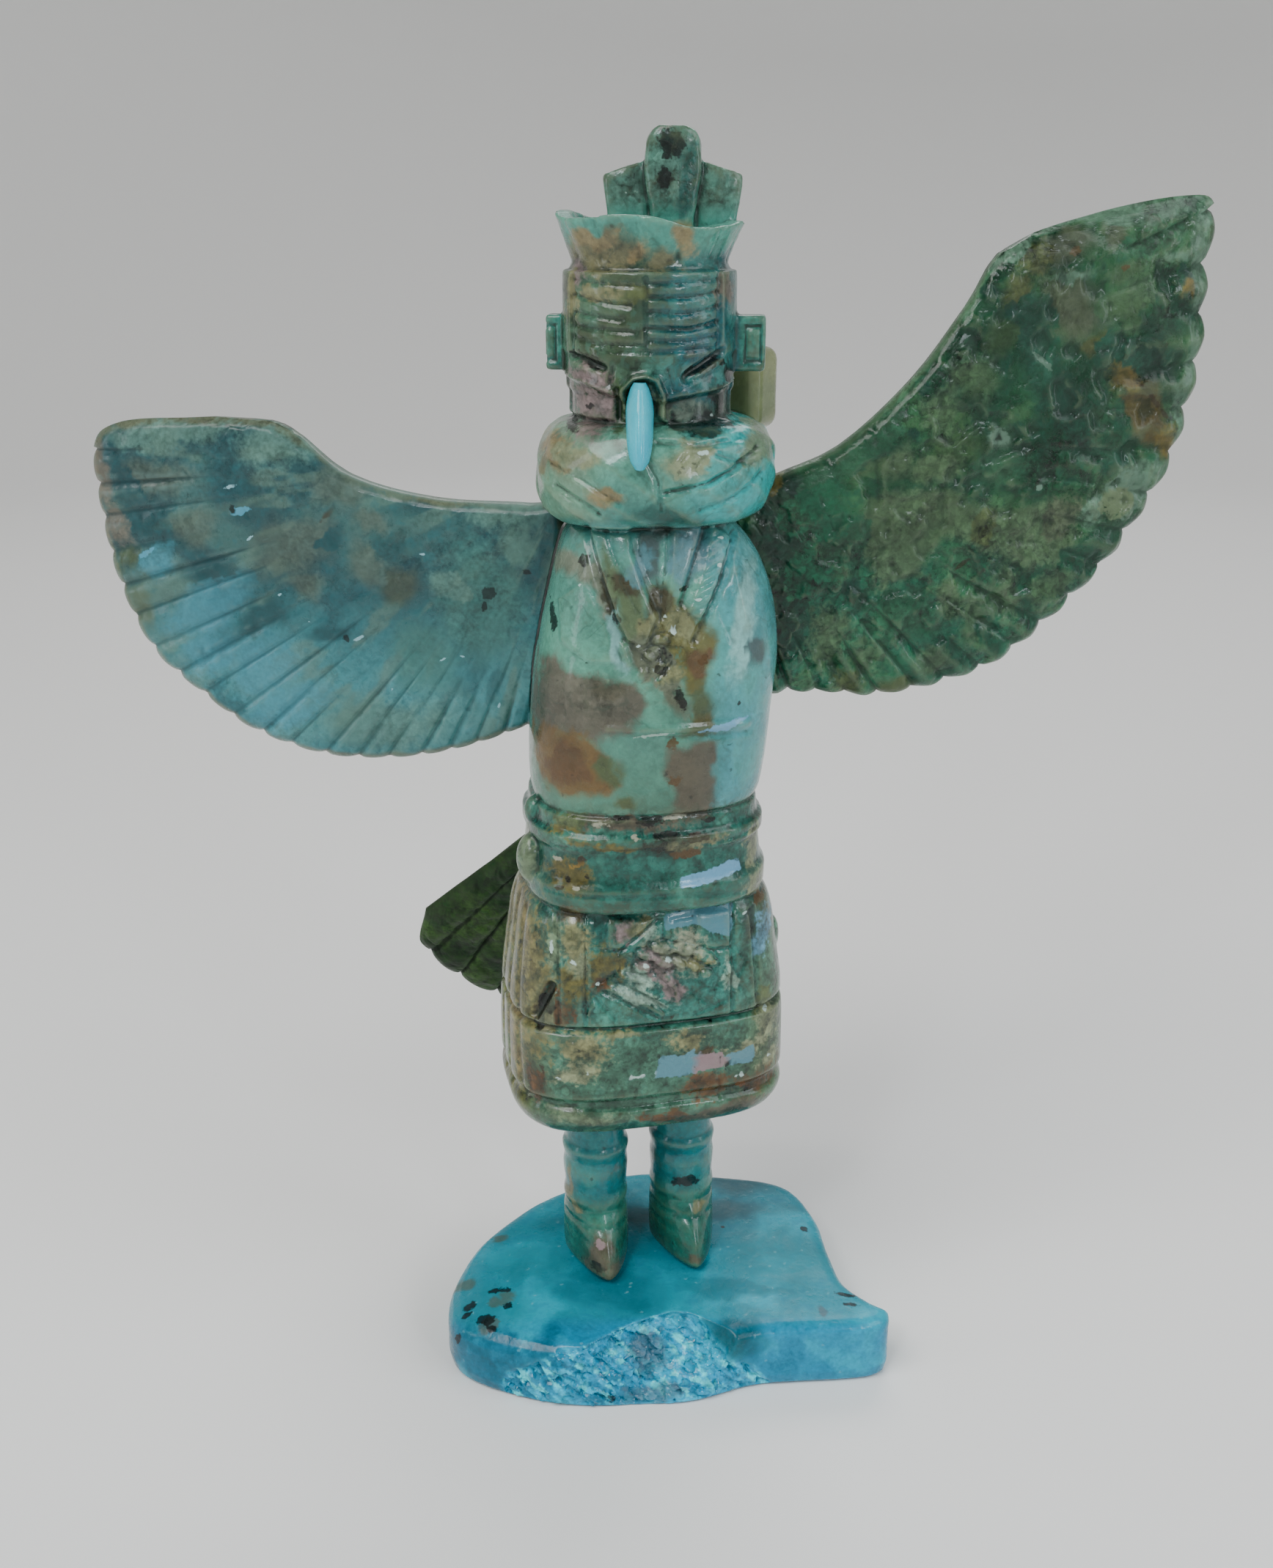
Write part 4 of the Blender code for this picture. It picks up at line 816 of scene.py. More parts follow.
def blade_mesh(name, origin, angles, phase, number, inner, outer, outline, sizes, start, seed):
    """A blade of overlapping feathers in its own plane: x along it, z up, y its thickness."""
    thickness, camber, reach, relief, groove_share, notch, crag = sizes
    lobe = np.sin(math.pi * np.clip(phase, 0, 1)) ** 0.6
    tip = outer * (1 - notch * (1 - lobe) * (number >= 0))
    shares = [np.linspace(0, 0.06, 10, endpoint=False), np.linspace(0.06, 0.94, 110, endpoint=False)]
    shares = np.concatenate([*shares, np.linspace(0.94, 1, 16)])[None, :]
    length = (tip - inner)[:, None]
    radius = inner[:, None] + shares * length
    u = origin[0] + radius * np.cos(angles)[:, None]
    v = origin[1] + radius * np.sin(angles)[:, None]
    closed = np.vstack([outline[::3], outline[:1]])
    edge = np.minimum(path_distance(u, v, [tuple(p) for p in closed]), (1 - shares) * length)
    # The cuts between the feathers start at their own places, and are cut unevenly.
    number = number[:, None]
    fade = smooth_step((shares - start - 0.11 * np.sin(number * 2.4 + seed)) / 0.34)
    shape = feather_shape(phase, groove_share)[:, None]
    along = np.stack(np.broadcast_arrays(shares, 0.31 * number, 0.0), axis=-1).reshape(-1, 3)
    broken = 0.75 + 0.5 * noise(along, 0.11, seed + 6).reshape(u.shape)
    groove = relief * fade * (1 - shape) * (1 + 0.45 * np.sin(number * 4.1 + 2 * seed)) * broken
    half = thickness / 2 * (1 - 0.38 * shares)
    bend = camber * (radius / reach) ** 2
    rounding = 0.62 * half * (1 - np.clip(edge / RIM_REACH, 0, 1)) ** 2
    bevel = BEVEL_DEPTH * (1 - np.clip(edge / BEVEL_REACH, 0, 1))
    # Waves, fine grain, pits at some cells' borders and crags that eat into the front.
    flat = np.stack([u, np.zeros_like(u), -v], axis=-1).reshape(-1, 3)
    low = waver(flat, WAVE_SIZE, 4, seed).reshape(u.shape) * WAVE_DEPTH
    fine = waver(flat, GRAIN_SIZE, 2, seed + 9).reshape(u.shape) * GRAIN_DEPTH
    border, _, _ = cells(flat, PIT_SIZE, seed)
    pits = PIT_DEPTH * np.clip(0.07 - border, 0, 1) * (noise(flat, PIT_FIELD, seed + 4) > 0.62)
    pits += crag * smooth_step((0.52 - fractal(flat, CRAG_SIZE, 4, seed + 3)) / 0.15)
    inward = np.clip(edge / RIM_CALM, 0, 1)
    worn = inward * (np.maximum(low + fine, -WAVE_HEIGHT) + pits.reshape(u.shape))
    front = bend - half + groove + rounding + bevel + worn
    back = bend + half - 0.6 * groove - rounding - inward * np.maximum(low, 0) * 0.6
    front_side = np.stack([u, front, -v], axis=-1)
    back_side = np.stack([u, np.maximum(back, front + LEAST_BLADE), -v], axis=-1)
    return tube(name, np.concatenate([front_side, back_side[:, ::-1]], axis=1))

def build_wing(name, outline_shares, span, fan, cut, seed, sweep, lift, root, mirrored=False):
    """A wing as a fan of feathers, turned back and lifted at its shoulder."""
    first, last, start = fan
    outline = smooth_closed(np.array(outline_shares) * span, 12)
    focus = WING_FOCUS * span
    edge_angle = np.arctan2(outline[:, 1] - focus[1], outline[:, 0] - focus[0]).min() + math.radians(0.3)
    angles, phase, number = feather_angles(edge_angle, math.radians(first), math.radians(last), WING_FEATHERS)
    inner, outer = ray_reach(focus, angles, outline)
    sizes = (WING_THICKNESS, WING_CAMBER, span, *cut)
    mesh = blade_mesh(name, focus, angles, phase, number, inner, outer, outline, sizes, start, seed)
    mesh.transform(Matrix.Rotation(sweep, 4, "Z") @ Matrix.Rotation(-lift, 4, "Y"))
    if mirrored:
        mesh.transform(Matrix.Scale(-1, 4, Vector((1, 0, 0))))
        mesh.flip_normals()
    mesh.transform(Matrix.Translation(root))
    wing = add_object(name, mesh)
    leave_room(wing)
    return wing

def build_tail():
    """The fan behind the kilt, which leans back from the belt."""
    first, last = math.pi / 2 - TAIL_SPREAD, math.pi / 2 + TAIL_SPREAD
    angles, phase, number = feather_angles(first, first + 0.1 * TAIL_SPREAD, last, TAIL_FEATHERS)
    aside = np.abs(angles - math.pi / 2) / TAIL_SPREAD
    rounding = 0.07 * TAIL_SIDE * smooth_step((aside - 0.86) / 0.14)
    outer = TAIL_LENGTH - (TAIL_LENGTH - TAIL_SIDE) * aside**2.4 - rounding
    inner = np.full(len(angles), 0.08 * TAIL_LENGTH)
    ring = np.stack([outer * np.cos(angles), outer * np.sin(angles)], axis=1)
    root = np.stack([inner * np.cos(angles), inner * np.sin(angles)], axis=1)[::-1]
    outline = np.vstack([ring, root])
    sizes = (TAIL_THICKNESS, 0.0, TAIL_LENGTH, *TAIL_CUT)
    mesh = blade_mesh("tail_stone", (0, 0), angles, phase, number, inner, outer, outline, sizes, 0.30, 8)
    mesh.transform(Matrix.Rotation(TAIL_SKEW, 4, "Y"))
    mesh.transform(Matrix.Rotation(TAIL_SLOPE, 4, "X"))
    back = surface_point(WAIST, math.pi)
    mesh.transform(Matrix.Translation((back.x - 0.0010, back.y - 0.0005, WAIST - 0.0015)))
    tail = add_object("tail_stone", mesh)
    leave_room(tail)
    return tail

# The slab's outline, as shares of its length and depth, starting at the right end.
BASE_OUTLINE = (
    (0.538, -0.382), (0.500, -0.322), (0.450, -0.222), (0.426, -0.042), (0.409, 0.155), (0.345, 0.350),
    (0.190, 0.418), (-0.038, 0.438), (-0.221, 0.307), (-0.340, 0.127), (-0.424, -0.092), (-0.454, -0.290),
    (-0.408, -0.458), (-0.226, -0.576), (-0.060, -0.594), (0.100, -0.572), (0.250, -0.492), (0.488, -0.458),
)

# The broken field on the slab's front and the smooth flake beside it, as (x, z) millimetres.
BREAK_FIELD = (
    (-14.0, -0.5), (-13.2, 2.6), (-10.0, 4.6), (-7.6, 6.2), (-4.0, 7.4), (3.4, 7.4), (5.0, 5.6), (7.2, 4.4),
    (9.4, 2.6), (11.6, -0.5),
)
BREAK_FLAKE = ((3.4, 7.2), (9.6, 7.2), (8.8, 4.6), (7.2, 3.4), (5.0, 5.2))

# The break's shards, large and small, and the painted glints on them.
SHARD_SIZE = 0.0015
SMALL_SHARD_SIZE = 0.00068
GLINT_SIZE = 0.0005
SHARD_STEP, SHARD_TILT = 0.00016, 0.00034
SMALL_STEP, SMALL_TILT = 0.00008, 0.00024
SHARD_SINK = 0.0002
SHARD_GRAIN, SHARD_GRAIN_DEPTH = 0.0005, 0.0002
SHARD_BEND, SHARD_BEND_SIZE = 0.0004, 0.001
# The slab's wear: its polish's waves and its edges' nicks.
POLISH_SIZE, POLISH_DEPTH = 0.006, 0.00016
NICK_SIZE, NICK_DEPTH = 0.0022, 0.00012

def leant(points):
    """The points squeezed along the way that the break's shards lean, down to the right."""
    x, y, z = points.T
    c, s = math.cos(math.radians(38)), math.sin(math.radians(38))
    return np.stack([(x * c - z * s) * 0.45, y, (x * s + z * c) * 1.15], axis=1)

def break_share(points, normals, corners=BREAK_FIELD):
    """1 inside a field on the slab's front, 0 on its polished faces."""
    x, y, z = (points / MM).T
    wander = 2.6 * waver(points, 0.0032, 4, 16)
    share = smooth_step(area_depth(x + wander, z + 0.5 * wander, corners) / 0.9 + 0.5) * (y < -7.5)
    return share * smooth_step((0.93 - normals[:, 2]) / 0.16) * (normals[:, 2] > -0.6)

def leave_shards_flat(mesh):
    """Shades the broken field face by face, so that its shards glint one by one."""
    middles, normals = np.empty((2, len(mesh.polygons) * 3))
    mesh.polygons.foreach_get("center", middles)
    mesh.polygons.foreach_get("normal", normals)
    smooth = break_share(middles.reshape(-1, 3), normals.reshape(-1, 3)) < 0.5
    mesh.polygons.foreach_set("use_smooth", smooth)
    mesh.update()

def build_base():
    """The slab, with its rounded front corner, its broken front and its wear."""
    outline = smooth_closed(np.array(BASE_OUTLINE) * (BASE_LENGTH, BASE_DEPTH), 12)[::-1]
    along = np.roll(outline, -1, axis=0) - np.roll(outline, 1, axis=0)
    along /= np.linalg.norm(along, axis=1)[:, None]
    normal = np.stack([-along[:, 1], along[:, 0]], axis=1)
    rows = []
    for z, inset in ((0.0, 0.6), (0.3, 0.2), (1.2, 0.0)):
        level = outline - inset * BASE_EDGE * normal
        rows.append(np.column_stack([level, np.full(len(level), z * BASE_EDGE)]))
    left = smooth_step((-outline[:, 0] / BASE_LENGTH - 0.10) / 0.25)
    front = smooth_step((-outline[:, 1] / BASE_DEPTH + 0.05) / 0.35)
    edge = BASE_EDGE * (1 + (CORNER_ROUNDING - 1) * left * front)
    for drop, inset in ((1.0, 0.0), (0.72, 0.04), (0.46, 0.17), (0.22, 0.45), (0.07, 0.8), (0.0, 1.2)):
        level = outline - (inset * edge)[:, None] * normal
        rows.append(np.column_stack([level, BASE_THICKNESS - drop * edge]))
    base = add_object("slab_stone", tube("slab_stone", np.array(rows)))
    cut_away(base, break_mesh())
    remeshed(base, SLAB_VOXEL)
    mesh = base.data
    points, normals = points_of(mesh), normals_of(mesh)
    z, facing_up = points[:, 2], normals[:, 2]
    broken = break_share(points, normals)
    bent = leant(points) + SHARD_BEND * fractal(points, SHARD_BEND_SIZE, 2, 15)[:, None]
    _, level, plane = cells(bent, SHARD_SIZE, 3)
    shard = (level - 0.5) * SHARD_STEP + plane * SHARD_TILT
    _, level, plane = cells(leant(points), SMALL_SHARD_SIZE, 14)
    shard = shard + (level - 0.5) * SMALL_STEP
    shard = shard + plane * SMALL_TILT
    shard += waver(points, SHARD_GRAIN, 2, 3) * SHARD_GRAIN_DEPTH
    polish = waver(points, POLISH_SIZE, 2, 6) * POLISH_DEPTH
    nicks, _, _ = cells(points, NICK_SIZE, 12)
    edge_wear = -NICK_DEPTH * np.clip(0.16 - nicks, 0, 1) * smooth_step((0.95 - facing_up) / 0.3)
    lift = broken * (shard - SHARD_SINK) + (1 - broken) * (polish + edge_wear)
    lift *= smooth_step(z / 0.0004)
    top = (facing_up > 0.9) & (z > 0.0060)
    lift = np.where(top, np.minimum(lift, 0), lift)
    points = points + normals * lift[:, None]
    points[:, 2] = np.clip(points[:, 2], 0, BASE_THICKNESS)
    move_points(mesh, points)
    thinned(base, SLAB_TRIANGLES)
    return base

def break_mesh():
    """What broke off the slab's front edge."""
    middle_x = -0.02 * BASE_LENGTH
    front = -0.584 * BASE_DEPTH
    columns, levels = 12, 4
    rows = []
    for level in range(levels + 1):
        rise = level / levels
        row = []
        for column in range(columns + 1):
            side = 2 * column / columns - 1
            peak = max(0.0, 1 - abs(side - 0.38) ** 1.3)
            chip = 0.09 * math.sin(5.1 * column + 2.3 * level) * math.sin(math.pi * rise)
            bite = BREAK_DEPTH * (peak * rise**0.9 + chip) - CUT_MARGIN
            z = rise * (BASE_THICKNESS + 2 * CUT_MARGIN) - CUT_MARGIN
            row.append((middle_x + side * BREAK_LENGTH / 2, front + max(bite, -0.75 * CUT_MARGIN), z))
        outside = front - BASE_DEPTH / 4
        row.append((middle_x + BREAK_LENGTH / 2, outside, row[-1][2]))
        row.append((middle_x - BREAK_LENGTH / 2, outside, row[0][2]))
        rows.append(row)
    return tube("slab break", np.array(rows))

def build_beak():
    """The inlay under the brow, from (down, wide, deep, forward) shares of its size."""
    top = surface_point(HEAD_BOTTOM + 0.28 * HEAD_HEIGHT, math.radians(-2))
    shape = np.array([
        (0.0, 0.45, 0.9, 0.0), (0.08, 0.7, 1.4, 0.0), (0.35, 1.0, 1.9, 0.08), (0.65, 0.95, 1.7, 0.22),
        (0.9, 0.7, 1.2, 0.36), (1.0, 0.35, 0.7, 0.42),
    ])
    fine = monotone(shape[:, 0], shape, np.linspace(0, 1, 90))
    down, wide, deep, forward = (fine[:, k, None] for k in range(4))
    angle = angles_round(72)
    ridge = 0.90 + 0.10 * np.abs(np.sin(angle)) ** 3
    x = wide * BEAK_WIDTH / 2 * np.cos(angle) * 0.96
    y = deep * BEAK_WIDTH / 2 * np.sin(angle) * ridge - forward * BEAK_LENGTH
    z = np.broadcast_to(-down * BEAK_LENGTH, x.shape)
    rows = np.stack([x + top.x, y + top.y, z + top.z], axis=-1)
    beak = add_object("beak_stone", tube("beak_stone", rows))
    leave_room(beak)
    return beak

def build_block():
    """The block behind the ruff, with a slightly uneven skin."""
    z = HEAD_BOTTOM + 0.2 * BLOCK_HEIGHT
    place = surface_point(z, math.pi + BLOCK_TURN - HEAD_TURN, BLOCK_THICKNESS / 2)
    matrix = Matrix.Translation((place.x + BLOCK_SHIFT, place.y, z)) @ Matrix.Rotation(BLOCK_TURN, 4, "Z")
    size = (BLOCK_WIDTH, BLOCK_THICKNESS, BLOCK_HEIGHT)
    block = add_object("nape_stone", rounded_block("nape_stone", size, BLOCK_EDGE, matrix))
    leave_room(block)
    remeshed(block, BLOCK_VOXEL)
    points = points_of(block.data)
    wear = (fractal(points, BLOCK_WEAR_SIZE, 2, 4) - 0.7) * BLOCK_WEAR_DEPTH
    move_points(block.data, points + normals_of(block.data) * wear[:, None])
    return block

# Patches of colour by tone, each as its corners or as (x, z, half width, half height, degrees), where the
# degrees may be left out. Later ones lie over earlier ones.
DANCER_STAINS_AND_HIGHLIGHTS = (
    ("mauve", ((-9.9, 67.9), (-8.5, 68.8), (-7.1, 67.6), (-4.5, 67.7), (-1.2, 66.7), (0, 65.4),
      (-0.3, 64), (-2.4, 62.3), (-4.5, 61.3), (-7.1, 60.9), (-10.2, 61.4)),
     (5.7, 97.6, 0.9, 1.4)),
    ("orange", ((-10.4, 62.2), (-7.1, 62), (-4.6, 61.6), (-2.7, 60.3), (-2.4, 58.4), (-3.3, 57.5),
      (-5.4, 57.4), (-7.1, 56.9), (-8.8, 57.9), (-10, 59.7))),
    ("speckle", ((-8.2, 76.5), (-6.8, 77.5), (-4.5, 76.8), (-3.6, 74.9), (-2.7, 72.7), (-3, 71.5),
      (-4.8, 73.8), (-6.2, 75), (-7.9, 75))),
    ("lichen", ((-4.4, 78.2), (-2.7, 76.4), (-0.4, 73.6), (1, 70.8), (-0.7, 69.2), (-1.9, 71.1),
      (-3.3, 73.6), (-4.2, 76.2))),
    ("dove", ((-1.3, 70.5), (0.8, 72.4), (2.5, 71.8), (3.4, 69.5), (3.1, 66.7), (2.9, 63.8), (1.9, 65.2),
      (1.2, 66.7), (-0.4, 66.7), (-1.3, 68.6))),
    # Painted highlights: pale streaks down the right side of the chest and along the left lapel.
    ("glow", (7.8, 71.8, 1, 4.9, -5), (-2.7, 70.6, 0.6, 2.9, 16)),
    # A painted reflection: a pale blue patch on the kilt's right side.
    ("sky", (10.3, 42.7, 0.7, 1.9)),
    ("black", (5.8, 88.9, 1, 1.5), (2.1, 88, 1.1, 1.1), (4, 87.5, 1.9, 0.8)),
    ("clay", (3, 88.7, 1.3, 0.8, 10)),
    ("umber", ((1.3, 61.4), (5.3, 61.6), (5.7, 59.4), (6, 56.5), (5.1, 54.6), (2.2, 54.6), (1.6, 57.5),
      (1.2, 59.4)),
     (-2.8, 65.9, 1.5, 1), (-2.4, 54.5, 4.6, 0.7, -2), (-4.9, 9.5, 1.6, 1.9, -30), (-3.4, 7.4, 1.2, 1.1),
     (4.8, 7.4, 0.9, 0.4)),
    ("ochre", ((-0.4, 74.9), (1.3, 74.8), (2.6, 73.2), (4, 72.3), (4.9, 70.6), (5.5, 68.9), (5.1, 67.3),
      (5, 64.8), (5.2, 62.6), (2.9, 62.6), (3.4, 65.4), (3.2, 67.3), (2.6, 69), (1.4, 70.2), (0.3, 72.1)),
     (-6.6, 54, 1.6, 0.7), (-3.1, 52.6, 3.6, 0.3, -3), (-7, 49.5, 1.8, 1.7), (-4.2, 41.4, 1.5, 1.8),
     (-6.9, 39.8, 1.6, 1.3)),
    ("olive", (-2, 56.3, 1.3, 0.6), (-3.4, 59.2, 1, 1.4), (4.2, 65.1, 1.3, 1), (3.7, 62.7, 1.1, 0.7),
     (-6.4, 54.6, 1.5, 0.8), (10.1, 36, 1.2, 1.3), (-1.7, 97.3, 1.3, 0.7)),
    ("slate", (9, 69, 1, 1.2), (0, 77.1, 1.1, 2.3)),
    ("dusk", (1.2, 78.9, 1.1, 0.8), (8.8, 43.4, 0.6, 1.5)),
    ("bark", (2.6, 52.6, 2.6, 0.9, 3)),
    ("rose", (-2.4, 44.6, 1.3, 1), (-0.4, 40.6, 1.6, 0.8, -30), (2.2, 39, 1, 1.6, 20),
     (-4.7, 90.9, 1.6, 0.7), (-5, 88.8, 1.8, 2)),
    ("moss", (-2.6, 88.3, 0.6, 2.3)),
    ("brown", (-2.2, 75.2, 1.3, 0.8, -50), (-3.8, 74.5, 0.5, 1.7, 20), (0.7, 73.4, 1.1, 1.3),
     (-7, 45.6, 1.4, 1.2)),
    ("blue", (3, 77, 1.2, 2.5, -15), (-1.1, 76.2, 0.9, 1.7, -25)),
    ("sand", (2.6, 71.6, 1.3, 1, -30), (2, 67.6, 1, 0.8), (0.3, 71.8, 0.9, 1.1), (-7.1, 43.4, 1.3, 1.9),
     (-5.6, 33.4, 2, 1.9), (3.6, 33.7, 1.8, 1.1), (-2.8, 35, 1.8, 0.5), (-6.7, 13.3, 0.8, 0.6),
     (5.3, 11.8, 0.7, 0.6)),
    ("cream", (9.2, 51.1, 0.8, 2), (9.6, 47.3, 1, 1.3), (-6.3, 41.2, 1, 0.7), (-6.6, 30.9, 2.4, 0.8),
     (10.5, 34.3, 1, 1.2), (8.9, 32.2, 2.3, 0.8), (10.7, 29.9, 1.2, 0.7), (3.1, 84.9, 2.2, 1.4, 10)),
    ("bright", (6.6, 84.6, 2, 1.3), (5.1, 82.5, 2.2, 0.6, 8)),
    ("knot", (-10.5, 50.2, 1.2, 2.3), (-5.7, 27.2, 3.5, 0.6, -8), (1, 89.1, 0.6, 1.2),
     (8.7, 85.9, 1.3, 1.7)),
    ("straw", (-11, 40, 2.1, 8.1, 3)),
    ("peach", (-12, 33, 0.9, 4.2), (-11.2, 44.6, 0.8, 2.6, 4)),
    ("knot", (-8.8, 42.7, 0.6, 2.6)),
    ("brown", (-9.7, 37.2, 1, 2.2, -12), (5.5, 32.4, 1.2, 0.7)),
    ("rust", (-7, 59.6, 1.9, 1.3), (4.4, 68.6, 0.9, 1.2), (-4.6, 39.8, 0.9, 0.5), (-8.1, 37.5, 1.3, 1.2),
     (5.4, 28.9, 2.1, 1.4), (9.4, 28.6, 2.2, 1, 8), (1.6, 26.2, 1.8, 0.7), (-10.1, 30, 0.9, 2.3)),
    ("umber", (6.3, 26, 4.8, 0.7, 6)),
    ("tan", (4.3, 52.5, 1.9, 0.6), (-9.7, 36.3, 1, 1.3), (-0.9, 44.9, 1.1, 0.8, 20),
     (-3.7, 100.4, 2.9, 1.2), (0.9, 99.5, 1.8, 0.7, 5), (-3.9, 97.7, 1.3, 0.7), (-7.9, 14.7, 0.4, 2.2)),
    ("apricot", (-4.3, 101.4, 1.5, 0.7, 10), (-1.6, 100.4, 0.7, 0.6), (2.9, 101.5, 1.1, 1),
     (-7.5, 85.3, 1.5, 1.4), (-3.8, 81.8, 1.4, 0.8)),
    ("deep", (-4.7, 44.6, 0.8, 1.2), (1.2, 80.4, 3.1, 0.8), (2.9, 105.2, 0.7, 2.9)),
    ("cream", (-5.5, 85.3, 1.5, 0.9)),
    ("pale", (0.5, 44.6, 0.5, 0.9), (7.2, 39.5, 0.5, 1.3, 10), (-1.2, 38.2, 2.4, 0.5, -27)),
    ("crumb", (2.4, 42.2, 3, 1.4, -15)),
    ("rose", (1, 41.2, 2.2, 1.3, -20), (-5.6, 99.1, 0.8, 0.9)),
    ("sand", (4.6, 41.5, 1.2, 0.7, -15)),
    ("pale", (-1, 39.8, 1.8, 0.8, -25)),
    ("tan", (-6.2, 97.5, 0.5, 1.9), (-8.5, 83.4, 0.7, 1.1)),
)
DANCER_FLECKS = (
    # Painted light: a reflection in a pale blue band across the belt, and a highlight streak along the
    # chest's lower ridge.
    ("sky", ((2.9, 49.5), (7.85, 50.2), (8, 49.3), (3, 48.4)), (6.3, 62.9, 2.1, 0.3, 8)),
    # Painted reflections: bluish patches on the kilt's top right and along its hem.
    ("haze", ((1.6, 45.5), (7.4, 45.9), (7.4, 43.2), (5.4, 43.5), (4.7, 44), (1.6, 44.3)),
     ((0.9, 32.3), (4.3, 32.8), (4.3, 30.5), (0.4, 30.4)),
     ((6.9, 32), (9.8, 32.3), (9.4, 30.6), (6.9, 30.8))),
    ("rose", ((4.35, 32.2), (6.8, 32.3), (6.8, 30.6), (4.35, 30.4)), (-4.6, 10.2, 0.6, 0.4, -30)),
    ("black", (-5.5, 76.7, 0.5, 0.5), (-8.3, 71.3, 0.3, 1.2), (-2.7, 72.2, 0.4, 0.4), (2.7, 74.4, 0.4, 0.3),
     (1.1, 67.8, 0.5, 0.5), (2.7, 65.3, 0.4, 1, 10), (0.4, 64.7, 0.2, 0.2), (7.4, 64.5, 0.2, 0.3),
     (0.2, 54.7, 1.1, 0.45), (-2.5, 54.9, 0.9, 0.3), (5, 54.4, 0.7, 0.3), (1.5, 53.4, 1.1, 0.3),
     (-7.2, 49.3, 0.3, 0.4), (-5.4, 49.7, 0.3, 0.2),
     ((-10, 38.4), (-9.6, 38.8), (-9.1, 38.5), (-8.5, 38.8), (-8.3, 37.8), (-8.9, 37.1), (-9.4, 37.3),
      (-9.4, 36.3), (-9.7, 35.3), (-10.2, 34.9), (-10.4, 35.8), (-9.9, 36.6), (-10.1, 37.5)),
     (7, 30.8, 0.2, 0.7), (-4.9, 92.5, 1.2, 0.3, -12), (-4.3, 91.9, 0.6, 0.3), (4.3, 92.1, 1.5, 0.4, 22),
     (3.2, 91.5, 0.4, 0.3), (-6.4, 87.4, 0.4, 0.5), (-5, 89.1, 0.3, 0.2), (-3.8, 87.9, 0.3, 0.2),
     (-5.7, 88, 0.3, 0.2), (-6, 89.8, 0.3, 0.2), (1.5, 108.4, 1, 1.1), (1, 106, 0.8, 0.7),
     (-1.6, 106.2, 0.6, 0.4), (6.5, 91.2, 0.5, 0.7), (5.8, 92.2, 0.4, 0.3, 30), (3.7, 14.8, 1.5, 0.7),
     (-5, 8.2, 0.7, 0.4), (-3.4, 6.5, 0.9, 0.3), (4.8, 6.5, 0.8, 0.3)),
    ("deep", (-5.4, 70.8, 0.3, 0.3)),
    ("brown", (-6.5, 59.3, 0.4, 0.4), (1.8, 61.6, 0.6, 0.5), (2.2, 58.3, 0.7, 0.5), (4.5, 68.6, 0.5, 0.4),
     (3.2, 51.6, 1, 0.4), (9.8, 45.4, 0.6, 0.5)),
    # Painted glints: small white marks on the chest, kilt, ruff and face.
    ("white", (2, 70.9, 0.28, 0.18, -20), (-5.8, 74.5, 0.17, 0.12), (1.4, 72.3, 0.22, 0.18),
     (-0.8, 70, 0.17, 0.12), (5.6, 78.2, 0.28, 0.12, -10), (5.4, 76.2, 0.33, 0.18, -15),
     (3.9, 73.7, 0.28, 0.12, -10), (0.5, 67.9, 0.22, 0.12, 30), (-4.6, 39.8, 0.22, 0.18),
     (-8.7, 42.8, 0.14, 0.7), (-5.5, 31.2, 0.28, 0.18), (-8.2, 30.7, 0.44, 0.18),
     (10.8, 30.2, 0.44, 0.24, 20), (-6.7, 41.6, 0.39, 0.18, -30), (-5.1, 45.1, 0.15, 0.12),
     (-0.3, 41.1, 0.33, 0.18, -20), (1.9, 41.8, 0.33, 0.18, -40), (8.5, 44.7, 0.22, 0.18),
     (10.5, 35.1, 0.17, 0.18), (8.1, 29.4, 0.66, 0.12), (-1.2, 30.9, 1.2, 0.12), (4.7, 88, 0.17, 0.12),
     (4, 85.5, 0.39, 0.18), (1.3, 83.7, 0.15, 0.18)),
    ("crumb", (-3.9, 54.3, 0.8, 0.25), (2.2, 54.9, 0.9, 0.2), (-0.9, 53.3, 0.5, 0.25), (-8, 50.9, 0.4, 0.2),
     (-6.4, 48.6, 0.3, 0.2), (-6.8, 34.2, 0.4, 0.15, 30)),
    ("gold", (-6.6, 50.4, 0.7, 0.2)),
    ("bark", (-5.8, 51.2, 0.5, 0.2), (-7.9, 48.4, 0.4, 0.25, 20), (4.2, 53, 1.3, 0.5),
     (-9.5, 31.6, 0.3, 0.5)),
    # The first of these pale flecks is a painted highlight along the chest's lower ridge.
    ("pale", (0.6, 62.5, 1.6, 0.12, 6), (-1.6, 105.1, 1.2, 0.2)),
    ("rust", (8.3, 28.3, 0.5, 0.3)),
)
# On the slab the second number runs back over the top and down the front: y + z - 6.5.
SLAB_STAINS_AND_SHADOW = (
    # Painted shadow: bluish grey patches on the slab's top behind the dancer's feet.
    ("shade", (2.4, 4.2, 12, 2, 6), (9, 9.6, 4.2, 2.1), (-4.6, 2.9, 3.9, 2.3)),
    ("lagoon", (-3.4, -8, 7.5, 2.7, -8), (8, -7.5, 6, 1.6)),
    ("mist", (-11.7, -3.3, 4.3, 2.8), (13, -2.8, 5.8, 4.4), (-14.6, -10.7, 3.3, 3.5)),
    ("deepsea", (8.2, -14.5, 2.6, 2.3, -30)),
    ("plum", (-0.6, -16.4, 1.8, 2.3), (0.2, -21.1, 3.2, 1.3, 5), (16.7, -11.5, 0.4, 0.9, 20)),
    ("khaki", (-13.6, -9.3, 1.8, 1, 40), (-17.6, -7.1, 1, 0.7, 30), (-14.7, -13.2, 1, 1),
     (-15.2, 0.3, 0.9, 0.4, 25)),
)
